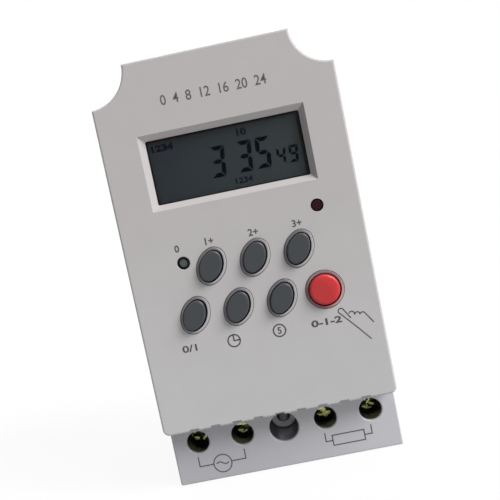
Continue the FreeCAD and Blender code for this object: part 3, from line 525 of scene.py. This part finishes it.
def stroke(points, width, closed=False):
    """Ribbon along a path in the x-z plane.

    Each point moves half the width both ways along its mitre: the sum of the unit normals of the two
    runs that meet there, over one plus the cosine of the turn, so that the ribbon keeps its width.
    """
    path = np.asarray(points, float)
    ahead = np.roll(path, -1, axis=0) - path
    if not closed:
        ahead[-1] = ahead[-2]
    ahead /= np.linalg.norm(ahead, axis=1)[:, None]
    after = np.stack([-ahead[:, 1], ahead[:, 0]], axis=1)
    before = np.roll(after, 1, axis=0)
    if not closed:
        before[0] = after[0]
    mitre = (after + before) / (1 + (after * before).sum(axis=1))[:, None]
    count = len(path)
    corners = np.concatenate([path + mitre * width / 2, path - mitre * width / 2])
    first = np.arange(count if closed else count - 1)
    second = (first + 1) % count
    return corners, np.stack([first, first + count, second + count, second], axis=1)


def circle(at, radius, start=0.0, end=360.0, count=48):
    """Points of a circle's arc: the centre plus the radius times cosine and sine of evenly spaced angles."""
    angles = np.radians(np.linspace(start, end, count, endpoint=abs(end - start) < 360))
    return np.stack([at[0] + radius * np.cos(angles), at[1] + radius * np.sin(angles)], axis=1)


def oval(at, long_half, short_half, end_radius, lean):
    """Points of a leaning oval of four tangent arcs.

    The side arcs' radius follows from their meeting the end arcs in one tangent; each arc is its centre
    plus its radius times cosine and sine of even angles. The other half is the first one turned half round,
    and the whole is turned by the lean.
    """
    end_centre = long_half - end_radius
    side_radius = (end_centre ** 2 + short_half ** 2 - end_radius ** 2) / (2 * (short_half - end_radius))
    side_centre = side_radius - short_half
    meet = math.degrees(math.atan2(end_centre, side_centre))
    half = np.concatenate([circle((-side_centre, 0), side_radius, -meet, meet, 16)[:-1],
                           circle((0, end_centre), end_radius, meet, 180 - meet, 16)[:-1]])
    points = np.concatenate([half, -half])
    turn = math.radians(lean)
    across = np.array([math.cos(turn), -math.sin(turn)])
    along = np.array([math.sin(turn), math.cos(turn)])
    return points[:, :1] * across + points[:, 1:] * along + at


def grid(low, high, columns, rows):
    """Corners and quads of a rectangle: evenly spaced steps across times evenly spaced steps up."""
    steps_up = np.linspace(low[1], high[1], rows + 1)
    across, up = np.meshgrid(np.linspace(low[0], high[0], columns + 1), steps_up)
    first = (np.arange(rows)[:, None] * (columns + 1) + np.arange(columns)).ravel()
    above = first + columns + 1
    quads = np.stack([first, first + 1, above + 1, above], axis=1)
    return np.stack([across.ravel(), up.ravel()], axis=1), quads


def new_object(name, data):
    """Object with its data, in the scene."""
    made = bpy.data.objects.new(name, data)
    bpy.context.scene.collection.objects.link(made)
    return made


def numbers(text, at, height, width=None, weight=BOLD):
    """Flat outlines of a row of numbers, made bolder, scaled to a height and a width, round a place."""
    curve = bpy.data.curves.new("row", "FONT")
    curve.body = text
    curve.resolution_u = 6
    curve.offset = weight
    holder = new_object("row", curve)
    bpy.context.view_layer.update()
    mesh = bpy.data.meshes.new_from_object(holder.evaluated_get(bpy.context.evaluated_depsgraph_get()))
    spots = np.zeros(len(mesh.vertices) * 3)
    mesh.vertices.foreach_get("co", spots)
    spots = spots.reshape(-1, 3)[:, :2]
    faces = [list(face.vertices) for face in mesh.polygons]
    bpy.data.objects.remove(holder)
    bpy.data.curves.remove(curve)
    bpy.data.meshes.remove(mesh)
    low, high = spots.min(axis=0), spots.max(axis=0)
    rise = height / (high[1] - low[1])
    reach = rise if width is None else width / (high[0] - low[0])
    return (spots - (low + high) / 2) * (reach, rise) + at, faces


def segment_digit(shown, corner, width, height, bar, slant):
    """Seven-segment digit with its lower left corner at a place.

    The upper bar is a trapezium, the middle bar a six-sided lozenge and an upright a bar with one mitred
    and one pointed end; the other segments are their mirror images about the digit's middle lines.
    Afterwards x grows by the slant times the height above the corner.
    """
    gap = SEGMENT_GAP * bar
    middle = height / 2
    point = bar / 2
    left, right = bar + gap, width - bar - gap
    flat = np.array([(gap, height), (left, height - bar), (right, height - bar), (width - gap, height)])
    upright = np.array([(0, height - gap), (0, middle + point + gap), (point, middle + gap),
                        (bar, middle + point + gap), (bar, height - bar - gap)])
    lozenge = np.array([(point + gap, middle), (left, middle - point), (right, middle - point),
                        (width - point - gap, middle), (right, middle + point), (left, middle + point)])
    across = ((-1, 1), (width, 0))
    down = ((1, -1), (0, height))

    def mirror(outline, way):
        return (outline * way[0] + way[1])[::-1]

    segments = {"a": flat, "d": mirror(flat, down), "f": upright, "b": mirror(upright, across),
                "e": mirror(upright, down), "c": mirror(mirror(upright, across), down), "g": lozenge}
    lean = np.array([(1, 0), (slant, 1)])
    return [(segments[name] @ lean + corner, [range(len(segments[name]))]) for name in SEGMENTS[shown]]


def coil(centre, radius, low, high, wire, turns):
    """Round wire wound about a line along Z, with one closed turn at each end.

    The middle of the wire is the centre plus the radius times cosine and sine of the winding angle. Its
    height grows by little more than a wire for each turn, plus the running sum of a share that is nothing
    in the end turns and rises smoothly between them, so that it spans low to high. The section is the
    middle plus the wire's radius times the outward direction times cosine and the cross direction times
    sine of a second angle.
    """
    steps = int(turns * COIL_STEPS) + 1
    turn = np.linspace(0, turns, steps)
    inside = np.clip((np.minimum(turn, turns - turn) - 0.75) / 0.5, 0, 1)
    open_share = inside * inside * (3 - 2 * inside)
    closed = CLOSED_PITCH * wire * turn
    free = np.concatenate([[0], np.cumsum(open_share[1:] + open_share[:-1])])
    span = high - low - wire
    height = low + wire / 2 + closed + free * (span - closed[-1]) / free[-1]
    angle = 2 * np.pi * turn
    out = np.stack([np.cos(angle), np.sin(angle), np.zeros(steps)], axis=1)
    middle = np.column_stack([centre + radius * out[:, :2], height])
    way = np.gradient(middle, axis=0)
    way /= np.linalg.norm(way, axis=1)[:, None]
    cross = np.cross(way, out)
    round_wire = np.linspace(0, 2 * np.pi, COIL_SIDES, endpoint=False)[:, None]
    section = out[:, None] * np.cos(round_wire) + cross[:, None] * np.sin(round_wire)
    spots = middle[:, None] + wire / 2 * section
    ring = np.arange(COIL_SIDES)
    start = (np.arange(steps - 1) * COIL_SIDES)[:, None]
    first, second = start + ring, start + (ring + 1) % COIL_SIDES
    quads = np.stack([first, second, second + COIL_SIDES, first + COIL_SIDES], axis=2)
    ends = [ring[::-1].tolist(), ((steps - 1) * COIL_SIDES + ring).tolist()]
    return spots.reshape(-1, 3), quads.reshape(-1, 4).tolist(), ends


def join(parts):
    """One set of corners and faces from several."""
    faces = []
    total = 0
    for spots, sides in parts:
        faces += [[int(index) + total for index in face] for face in sides]
        total += len(spots)
    return np.concatenate([spots for spots, _ in parts]), faces


def mesh_piece(name, corners, faces, finish):
    """Object at the origin whose mesh has its corners in millimetres."""
    mesh = bpy.data.meshes.new(name)
    mesh.from_pydata((np.asarray(corners) * MM).tolist(), [], faces)
    mesh.materials.append(finish.material)
    return new_object(name, mesh)


def flat_piece(name, parts, plane_y, lift, finish):
    """Thin print on a plane that faces the front: flat parts, thickened back to the plane."""
    spots, faces = join(parts)
    front = np.full(len(spots), plane_y - lift)
    piece = mesh_piece(name, np.column_stack([spots[:, 0], front, spots[:, 1]]), faces, finish)
    thickness = piece.modifiers.new("thickness", "SOLIDIFY")
    thickness.thickness = lift * MM
    thickness.offset = -1
    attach(piece, "case")


class TIMER_OT_mouldings(bpy.types.Operator):
    """Finish the front cover, the terminal housing, the rear base and the rail clip"""

    bl_idname = "timer.mouldings"
    bl_label = "Mouldings"

    def housing(self, colours):
        """Terminal housing: painted shade in its screw holes; in the middle well, painted light on the wall
        and on a pale ledge, and painted shadow on the floor.
        """
        finish = base_moulding("housing moulding", colours)
        x, y, z = finish.along
        holes = (HOLES_HALF - x.size()).fade(0, 0.4) * (z - HOLES_LOW_Z).fade(0, 0.4)
        middle = holes * (WELL_HALF - x.size()).fade(0, 0.2)
        # Painted shade: the holes grow dark behind the step.
        deep = holes * (y - STEP_Y).fade(0.1, 2.2)
        # Painted light and shade on the middle well's wall: lighter with depth and down its middle, darker at
        # its sides.
        lit = finish.shade((y - STEP_Y).fade(1.5, 7.0), linear(118, 116, 124), linear(206, 202, 212))
        wall = finish.shade(x.size().fade(1.2, 3.4), lit, linear(58, 58, 66))
        # Painted shadow on the well's floor, and painted light on a near-white ledge round the fixing hole.
        floor = middle * y.fade(WELL_FLOOR_Y - 0.3, WELL_FLOOR_Y - 0.1)
        near = 1 - finish.around(FIXING_AT)[2].fade(*LEDGE_ZONE)
        ledge = floor * near * (1 - y.fade(WELL_FLOOR_Y + 0.05, WELL_FLOOR_Y + 0.3))
        inside = finish.shade(middle, colours.hole, wall)
        inside = finish.shade(floor, inside, linear(24, 25, 28))
        inside = finish.shade(ledge, inside, linear(243, 247, 250))
        cloud = finish.noise(9.0, 3.0)
        # Painted light: the housing grows lighter towards its right end.
        ground = finish.shade(x.fade(-24, 30) + 0.3 * (cloud - 0.5), colours.base, colours.base_painted_light)
        return finish.paint(deep, ground, inside, Roughness=0.5 - 0.2 * deep)

    def foot(self, colours):
        """Rear base's foot: painted shade in the passage of the fixing screw."""
        finish = base_moulding("foot moulding", colours)
        near = 1 - finish.around(FIXING_AT)[2].fade(*PASSAGE_ZONE)
        # Painted shade inside the fixing screw's passage.
        passage = near * (PASSAGE_BACK_Y - finish.along[1]).fade(0, 4)
        plain = finish.tint(colours.base, finish.noise(9.0, 3.0), 0.04)
        return finish.paint(passage, plain, linear(20, 21, 24))

    def bevels(self, finish, colours, front):
        """Colour of the front with painted shade on the window's right bevel and painted light on its upper
        and lower bevels.
        """
        x, y, z = finish.along
        facing_x, _, facing_z = finish.facing
        window = (z - BEVELS_LOW_Z).fade(0, 1) * (BEVELS_HALF - x.size()).fade(0, 1)
        window = window * (y - PANEL_Y).fade(0.02, 0.1)
        # Painted shade on the right bevel, painted light on the upper and lower bevels.
        right = window * (0 - facing_x).fade(0.3, 0.6) * x.fade(RIGHT_BEVEL_X, RIGHT_BEVEL_X + 1)
        level = window * facing_z.size().fade(0.3, 0.6) * (BEVELS_HIGH_Z - z).fade(0, 1)
        return finish.shade(level, finish.shade(right, front, colours.bevel_painted_shade), colours.bevel_painted_light)

    def cover(self, colours):
        """Front cover: pale panel, collars with painted light at their lower right and painted shade at their
        upper left, and hole walls in painted shade.
        """
        finish = moulded_plastic("cover moulding", colours.panel, 0.52, 0.32, 0.016)
        _, y, z = finish.along
        cloud = finish.noise(9.0, 3.0)
        panel = finish.shade(z.fade(-50, 30), finish.tint(colours.panel_low, cloud, 0.03),
                             finish.tint(colours.panel, cloud, 0.03))
        lit, outward, red_key = round_keys(finish)
        # Painted light and shade on the collars, with a painted red reflection round the red key.
        towards = lit.fade(-3.0, 4.2)
        collar = finish.shade(red_key, finish.shade(towards, colours.collar_painted_shade, colours.collar),
                              finish.shade(towards, colours.red_collar_painted_shade, colours.red_collar))
        front = finish.shade((PANEL_Y - y).fade(0.03, 0.12), panel, collar)
        # Painted shade on the key hole walls and in the reset pin's hole, dark red round the red key.
        near = 1 - finish.around(centre_of("reset_button"))[2].fade(*PIN_ZONE)
        pin_hole = near * (y - PANEL_Y).fade(0.1, 0.2)
        walls = (0 - outward).fade(0.8, 2.0).most(pin_hole)
        gap = finish.shade(red_key, colours.gap, colours.red_gap_shade)
        return finish.paint(walls, self.bevels(finish, colours, front), gap)

    def execute(self, context):
        colours = context.scene.timer_colours
        dress(self.cover(colours), "front_cover")
        dress(base_moulding("base moulding", colours), "rear_base")
        dress(self.foot(colours), "rear_base_foot")
        dress(self.housing(colours), "terminal_housing")
        dress(moulded_plastic("black moulding", linear(38, 38, 40), 0.45, 0.3, 0.01),
              "rail_clip", "lcd_frame")
        return {"FINISHED"}


class TIMER_OT_keys(bpy.types.Operator):
    """Finish the oval caps, the round cap, the reset pin and the indicator lens"""

    bl_idname = "timer.keys"
    bl_label = "Keys and lamp"

    def grey_cap(self, name, colours, ground, front, edge):
        """Grey key cap: a painted highlight where its edge is rounded, and painted shade down its side."""
        finish = moulded_plastic(name, ground, 0.42, 0.25, 0.006)
        behind = finish.along[1] - front
        plain = finish.tint(ground, finish.noise(5.0, 3.0), 0.05)
        # Painted highlight on the rounded edge, painted shade further down the side.
        rounded = finish.shade(behind.fade(0.02, edge), plain, colours.cap_edge_highlight)
        return finish.paint(behind.fade(edge, 2 * edge), rounded, colours.gap)

    def red_cap(self, colours):
        """Red key cap: painted light towards its rim and its upper right, and painted shade down its side."""
        finish = moulded_plastic("red cap moulding", colours.red_cap, 0.4, 0.25, 0.005)
        right, up, square = finish.around(centre_of("manual_button"))
        cloud = finish.noise(2.5)
        # Painted light: brighter towards the rim and the upper right.
        rim = (square + 5.0 * right + 3.0 * up + 8.0 * (cloud - 0.5)).fade(4, 34)
        # Painted shade down the cap's side.
        side = (finish.along[1] - front_of("manual_button")).fade(0.25, 0.55)
        front = finish.shade(rim, colours.red_cap, colours.red_rim_painted_light)
        return finish.paint(side, front, colours.red_gap_shade)

    def execute(self, context):
        colours = context.scene.timer_colours
        cap = self.grey_cap("grey cap moulding", colours, colours.grey_cap, front_of("day_button"), 0.3)
        dress(cap, *[key + "_button" for key in OVAL_KEYS])
        pin = self.grey_cap("reset pin moulding", colours, colours.pin, front_of("reset_button"), 0.12)
        dress(pin, "reset_button")
        dress(self.red_cap(colours), "manual_button")
        lens = clouded("lamp lens", colours.lamp, 1.2, 0.12, 0.35, 0.08, Specular_IOR_Level=0.15)
        dress(lens, "status_led")
        return {"FINISHED"}


class TIMER_OT_window(bpy.types.Operator):
    """Finish the clear pane, the display glass and the conductive strips"""

    bl_idname = "timer.window"
    bl_label = "Window"

    def execute(self, context):
        pane = Finish("clear pane")
        pane.set(Base_Color=linear(60, 64, 66), Roughness=0.05 + 0.05 * pane.noise(7.0), Alpha=0.05, IOR=1.49)
        dress(pane, "display_window")
        dress(clouded("display glass", linear(40, 44, 48), 5.0, 0.06, 0.2, 0.06), "lcd_glass")
        dress(ribbed("striped rubber", 24.0, linear(24, 24, 26), linear(70, 70, 74), 0.7, 0.03),
              "rubber_strips")
        return {"FINISHED"}


class TIMER_OT_display(bpy.types.Operator):
    """Make the visible face of the display with its large and small digits"""

    bl_idname = "timer.display"
    bl_label = "Display face and digits"

    def face(self, colours):
        """Resting display: bluer left, greener right, with a dark border that widens at the top and right as
        painted shadow of the window's edge.
        """
        finish = Finish("resting display")
        x, _, z = finish.along
        (left, low), (right, high) = inside_pane(OPENING_LAP)
        cloud = finish.noise(6.0)
        ground = finish.shade((x - left) * (1 / (right - left)) + 0.3 * (cloud - 0.5),
                              colours.display_left, colours.display_right)
        # Painted shadow of the window's edge: the border is widest at the top and right.
        border = x.fade(right - 1.35, right - 0.75).most(z.fade(high - 0.95, high - 0.3))
        border = border.most((left - x).fade(-0.75, -0.2)).most((low - z).fade(-0.6, -0.2))
        return finish.paint(border, ground, linear(16, 16, 19), Roughness=0.4 + 0.08 * cloud,
                            Specular_IOR_Level=0.1)

    def segments(self, name, shade):
        """Segments that are switched on: dark and dull."""
        finish = Finish(name)
        return finish.set(Base_Color=finish.tint(shade, finish.noise(0.5, 1.0), 0.15), Roughness=0.4,
                          Specular_IOR_Level=0.02)

    def digits(self, sizes, marks):
        """Parts of the large digits and of the small ones beside them."""
        width, height, bar = sizes.digit_width / MM, sizes.digit_height / MM, sizes.digit_bar / MM
        share = sizes.small_share
        rows = ((marks.large, LARGE_DIGITS_X, (width, height, bar)),
                (marks.small, SMALL_DIGITS_X, (1.12 * share * width, share * height, 1.15 * share * bar)))
        return [part for text, places, size in rows for shown, x in zip(text, places)
                for part in segment_digit(shown, (x, DIGITS_LOW_Z), *size, sizes.slant)]

    def execute(self, context):
        colours = context.scene.timer_colours
        sizes = context.scene.timer_sizes
        pane_back = node_box("display_window")[1][1]
        faint = [numbers(*row) for row in FAINT_NUMBERS]
        layers = (
            ("display_face", [grid(*inside_pane(FACE_LAP), *FACE_GRID)], 2, self.face(colours)),
            ("display_digits", self.digits(sizes, context.scene.timer_marks), 3.5,
             self.segments("lit segments", colours.digits)),
            ("display_small_numbers", faint, 3, self.segments("faint segments", colours.faint_digits)),
        )
        for name, parts, lifts, finish in layers:
            flat_piece(name, parts, pane_back, lifts * sizes.lift / MM, finish)
        return {"FINISHED"}


class TIMER_OT_panel_print(bpy.types.Operator):
    """Print the numbers and pictograms of the front panel"""

    bl_idname = "timer.panel_print"
    bl_label = "Panel print"

    def key_numbers(self, steps, height):
        """Parts of the numbers beside the keys."""
        upper = [numbers(text, (x, UPPER_NUMBERS_Z), height)
                 for text, x in zip(steps.split(","), UPPER_NUMBERS_X)]
        return [numbers("0", RESET_NUMBER_AT, height), *upper, numbers("0/1", CANCEL_NUMBER_AT, height, 4.5),
                numbers("5", PROGRAM_SIGN_AT, 0.95 * height),
                numbers("0-1-2", MANUAL_NUMBER_AT, 0.98 * height, 9.2, 1.5 * BOLD)]

    def pictograms(self, ring, line):
        """Parts of the clock face and of the ring round a number."""
        x, z = CLOCK_SIGN_AT
        return [stroke(circle(CLOCK_SIGN_AT, ring), line, closed=True),
                stroke([(x, z + ring), (x, z), (x + ring, z)], line),
                stroke(circle(PROGRAM_SIGN_AT, ring), line, closed=True)]

    def hand(self, line):
        """Parts of the pointing hand: its palm and finger, and the row of bent fingers down to the wrist."""
        finger = [[(31.35, -28.45), (28.2, -24.55), (23.85, -19.45)],
                  circle((24.0, -18.5), 0.85, 200, 45, 10), [(26.5, -21.05)]]
        knuckles = [circle((26.95, -20.0), 0.87, 155, -10, 9), circle((28.6, -20.35), 0.75, 165, -2, 9),
                    circle((30.15, -20.85), 0.88, 145, 50, 7), [(32.95, -23.6)]]
        return [stroke(np.concatenate(run), line) for run in (finger, knuckles)]

    def seams(self, line):
        """Parts of the fine lines at the feet of the collars."""
        sizes = [size + SEAM_GAP for size in KEY_OVAL]
        rings = [oval(hole_of(key), *sizes, KEY_LEAN) for key in OVAL_KEYS]
        rings.append(circle(hole_of("manual"), MANUAL_RADIUS + SEAM_GAP, count=72))
        return [stroke(ring, line, closed=True) for ring in rings]

    def seam_shade(self, colours):
        """Colour of the line round a collar, paler on the lower right as painted light."""
        finish = printed_ink("seam shade", colours.seam)
        lit, _, _ = round_keys(finish)
        # Painted light: paler towards the lit side round each key.
        return finish.paint(lit.fade(0.5, 5.0), colours.seam, colours.seam_painted_light)

    def execute(self, context):
        colours = context.scene.timer_colours
        sizes = context.scene.timer_sizes
        marks = context.scene.timer_marks
        ink = printed_ink("panel ink", colours.ink)
        title = numbers(marks.title, TITLE_AT, sizes.title_height / MM, sizes.title_width / MM, BOLD / 2)
        prints = (
            ("title_numbers", [title], printed_ink("title ink", colours.title_ink)),
            ("key_numbers", self.key_numbers(marks.steps, sizes.label_height / MM), ink),
            ("key_pictograms", self.pictograms(sizes.ring_radius / MM, sizes.ring_line / MM), ink),
            ("pointing_hand", self.hand(sizes.line / MM), ink),
            ("collar_seams", self.seams(sizes.seam / MM), self.seam_shade(colours)),
        )
        for name, parts, finish in prints:
            flat_piece(name, parts, PANEL_Y, sizes.lift / MM, finish)
        return {"FINISHED"}


class TIMER_OT_step_print(bpy.types.Operator):
    """Print the supply and load marks of the terminal step"""

    bl_idname = "timer.step_print"
    bl_label = "Wiring marks"

    def execute(self, context):
        sizes = context.scene.timer_sizes
        line = sizes.line / MM
        ink = printed_ink("step ink", context.scene.timer_colours.ink)

        def lead(x, z, end_x):
            return stroke([(x, LEADS_TOP_Z), (x, z), (end_x, z)], line)

        x, z = SUPPLY_AT
        wave = np.linspace(-1, 1, 25)
        tilde = np.stack([x + 1.95 * wave, z + 0.15 - 0.42 * np.sin(wave * math.pi)], axis=1)
        supply = [stroke(circle(SUPPLY_AT, SUPPLY_RADIUS), line, closed=True), stroke(tilde, line),
                  lead(-28.5, -60.15, x - SUPPLY_RADIUS), lead(-13.75, -60.15, x + SUPPLY_RADIUS)]
        left, low = LOAD_LOW
        right, high = LOAD_HIGH
        load = [stroke([(left, low), (right, low), (right, high), (left, high)], line, closed=True),
                lead(12.05, -59.85, left), lead(26.65, -59.85, right)]
        for name, parts in (("supply_mark", supply), ("load_mark", load)):
            flat_piece(name, parts, STEP_Y, sizes.lift / MM, ink)
        return {"FINISHED"}


class TIMER_OT_metals(bpy.types.Operator):
    """Finish the terminal screws, cages, straps, case screws and the crystal's can"""

    bl_idname = "timer.metals"
    bl_label = "Metals"

    def passivated(self, name, bright, stretch):
        """Yellow passivated steel: a dark ground of painted shade with bright patches of painted glints that
        differ from screw to screw.
        """
        finish = Finish(name)
        # Painted glints: bright patches on a dark ground of painted shade.
        painted_glints = finish.noise(2.6, 0.5, (1, 0.6, stretch)).fade(0.47, 0.53)
        finish.set(Metallic=1.0, Roughness=0.16 + 0.12 * finish.noise(0.3))
        return finish.paint(painted_glints, linear(36, 40, 34), bright).relief(painted_glints, 0.03)

    def execute(self, context):
        colours = context.scene.timer_colours
        terminals = range(1, 5)
        for index in terminals:
            dress(self.passivated("terminal screw %d" % index, colours.screw, 1 + 0.37 * index),
                  "terminal_screw_%d" % index)
        dress(machined_metal("pressed brass", colours.brass, 0.32), "terminal_straps")
        dress(machined_metal("zinc steel", colours.steel, 0.34), "case_screws", "control_board_screws",
              "power_board_screws", *["terminal_cage_%d" % index for index in terminals])
        dress(machined_metal("crystal can", linear(198, 198, 196), 0.25), "clock_crystal")
        return {"FINISHED"}


class TIMER_OT_spring(bpy.types.Operator):
    """Make the rail clip's coil spring"""

    bl_idname = "timer.spring"
    bl_label = "Clip spring"

    def execute(self, context):
        sizes = context.scene.timer_sizes
        wire = sizes.spring_wire / MM
        low, high = node_box("clip_spring")
        centre = ((low[0] + high[0]) / 2, (low[1] + high[1]) / 2)
        radius = (high[0] - low[0] - wire) / 2
        spots, sides, ends = coil(centre, radius, low[2], high[2], wire, sizes.spring_turns)
        spring = mesh_piece("clip_spring_coil", spots, sides + ends,
                            machined_metal("spring steel", linear(150, 152, 156), 0.3))
        spring.data.polygons.foreach_set("use_smooth", [True] * len(sides) + [False] * len(ends))
        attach(spring, "case")
        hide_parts("clip_spring")
        seat = low[2] - SPRING_SEAT_GAP
        free_length = high[2] + SPRING_SEAT_GAP - seat
        [part * MM for part in (*centre, seat)]
        (free_length - CLIP_TRAVEL) / free_length
        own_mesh(spring)
        return {"FINISHED"}


class TIMER_OT_boards(bpy.types.Operator):
    """Finish both boards and what is mounted on them"""

    bl_idname = "timer.boards"
    bl_label = "Boards and parts"

    def laminate(self):
        """Green board: a fine weave under a faintly cloudy coating."""
        finish = Finish("green laminate")
        x, _, z = finish.along
        weave = (x * 7.0).wave() * (z * 7.0).wave() * 0.5 + 0.5
        cloud = finish.noise(4.0, 3.0)
        finish.paint(0.6 * weave + 0.4 * cloud, linear(16, 62, 36), linear(28, 88, 52),
                     Roughness=0.3 + 0.1 * cloud)
        return finish.relief(weave, 0.01)

    def sleeve(self):
        """Green shrink sleeve over a stack of round cells."""
        finish = Finish("battery sleeve")
        cells = (finish.along[0] * 1.4).wave().size()
        finish.paint(cells, linear(30, 96, 60), linear(44, 128, 80), Roughness=0.35)
        return finish.relief(cells, 0.2)

    def bands(self):
        """Tan resistor bodies with brown rings."""
        finish = Finish("banded resistors")
        ring = (finish.along[0] * 3.1).wave().fade(0.55, 0.75)
        return finish.paint(ring, linear(206, 180, 134), linear(110, 52, 30), Roughness=0.4)

    def execute(self, context):
        dress(self.laminate(), "control_board", "power_board")
        dress(self.sleeve(), "backup_battery")
        dress(self.bands(), "resistors")
        dress(ribbed("ribbon cable", 6.2, linear(120, 122, 126), linear(168, 170, 174), 0.5, 0.15),
              "link_ribbon")
        plungers = [key + "_plunger" for key in (*OVAL_KEYS, "manual", "reset")]
        plain = (
            ("relay case", (38, 38, 42), 0.35, ["relay"]),
            ("film capacitor", (196, 160, 44), 0.4, ["dropper_capacitor"]),
            ("can sleeve", (26, 30, 44), 0.35, ["smoothing_capacitors"]),
            ("varistor coat", (34, 84, 150), 0.45, ["varistor"]),
            ("chip body", (32, 32, 34), 0.55, ["microcontroller", "rectifier_diodes", "tact_switches"]),
            ("white nylon", (222, 220, 210), 0.45, ["link_connectors"]),
            ("plunger moulding", (54, 50, 46), 0.45, plungers),
        )
        for name, levels, roughness, dressed in plain:
            dress(moulded_plastic(name, linear(*levels), roughness, 0.3, 0.008), *dressed)
        return {"FINISHED"}


class TIMER_OT_stage(bpy.types.Operator):
    """Make the pale floor, the soft studio light and the camera"""

    bl_idname = "timer.stage"
    bl_label = "Stage"

    def floor_finish(self, share):
        """Pale floor: white where it is seen from above, apart from a shadow, and clear from below."""
        finish = Finish("pale floor")
        seen = finish.sees_white()
        finish.paint(seen, (share,) * 3, (0.9,) * 3, Roughness=0.9, Specular_IOR_Level=0.0)
        glow = finish.add("ShaderNodeEmission", {"Color": (1, 1, 1), "Strength": 1.0})
        above = finish.blend(0.9 * seen, finish.shader, glow)
        below = finish.add("ShaderNodeNewGeometry").outputs["Backfacing"]
        sides = finish.blend(below, above, finish.add("ShaderNodeBsdfTransparent"))
        finish.put(finish.output.inputs["Surface"], sides.outputs[0])
        return finish

    def floor(self, light):
        """Square floor just below the object."""
        count = light.floor_grid
        spots, quads = grid((-FLOOR_REACH,) * 2, (FLOOR_REACH,) * 2, count, count)
        level = np.full(len(spots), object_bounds()[0].z / MM - FLOOR_DROP)
        mesh_piece("floor", np.column_stack([spots, level]), quads.tolist(),
                            self.floor_finish(light.floor_share))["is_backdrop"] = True

    def sky(self, light):
        """Soft light all round that grows towards the upper right and fades towards the lower left."""
        world = bpy.data.worlds.new("studio")
        bpy.context.scene.world = world
        world.use_nodes = True
        studio = Nodes(world.node_tree)
        way = studio.add("ShaderNodeTexCoord").outputs["Generated"]
        turned = studio.add("ShaderNodeVectorMath", {0: way, 1: Vector(BRIGHT_WAY).normalized()},
                            operation="DOT_PRODUCT")
        level = (light.level + light.slope * Value(studio, turned.outputs["Value"])).most(0.0)
        soft, white = (studio.add("ShaderNodeBackground", {"Color": (1, 1, 1), "Strength": strength})
                       for strength in (level, 1.0))
        mix = studio.blend(studio.sees_white(), soft, white)
        studio.add("ShaderNodeOutputWorld", {"Surface": mix.outputs[0]})

    def lamp(self, name, energy, way, spread):
        """Large soft lamp that shines one way from far off."""
        data = bpy.data.lights.new(name, "SUN")
        data.energy = energy
        data.angle = math.radians(spread)
        new_object(name, data).rotation_euler = Vector(way).to_track_quat("-Z", "Y").to_euler()

    def camera(self):
        """Camera at the place from which the photograph was taken."""
        data = bpy.data.cameras.new("camera")
        data.lens = CAMERA_LENS
        data.sensor_width = 36
        camera = new_object("camera", data)
        camera.location = Vector(CAMERA_AT) * MM
        camera.rotation_euler = [math.radians(angle) for angle in CAMERA_TURN]
        bpy.context.scene.camera = camera

    def execute(self, context):
        context.scene.view_settings.view_transform = "Standard"
        light = context.scene.timer_light
        self.floor(light)
        self.sky(light)
        self.lamp("key lamp", light.key, (-0.68, 0.42, -0.6), 32)
        self.lamp("back lamp", light.back, (0.4, -0.8, -0.45), 60)
        self.camera()
        return {"FINISHED"}


STEPS = (TIMER_OT_mouldings, TIMER_OT_keys, TIMER_OT_window, TIMER_OT_display, TIMER_OT_panel_print,
         TIMER_OT_step_print, TIMER_OT_metals, TIMER_OT_spring, TIMER_OT_boards, TIMER_OT_stage)
GROUPS = {"timer_colours": TimerColours, "timer_sizes": TimerSizes, "timer_marks": TimerMarks,
          "timer_light": TimerLight}


class TIMER_PT_panel(bpy.types.Panel):
    """Sidebar panel with the timer's steps and settings"""

    bl_label = "Digital timer"
    bl_idname = "TIMER_PT_panel"
    bl_space_type = "VIEW_3D"
    bl_region_type = "UI"
    bl_category = "Timer"

    def draw(self, context):
        for step in STEPS:
            self.layout.operator(step.bl_idname)
        for group in GROUPS:
            settings = getattr(context.scene, group)
            for key in settings.__annotations__:
                self.layout.prop(settings, key)


def register():
    """Make the settings, operators and panel known."""
    for kind in (*GROUPS.values(), *STEPS, TIMER_PT_panel):
        bpy.utils.register_class(kind)
    for name, kind in GROUPS.items():
        setattr(bpy.types.Scene, name, PointerProperty(type=kind))


def unregister():
    """Take the settings, operators and panel away again."""
    for name in GROUPS:
        delattr(bpy.types.Scene, name)
    for kind in (TIMER_PT_panel, *reversed(STEPS), *reversed(GROUPS.values())):
        bpy.utils.unregister_class(kind)


def main():
    """Run every step in order."""
    register()
    for step in STEPS:
        group, name = step.bl_idname.split(".")
        getattr(getattr(bpy.ops, group), name)()


if __name__ == "__main__":
    main()
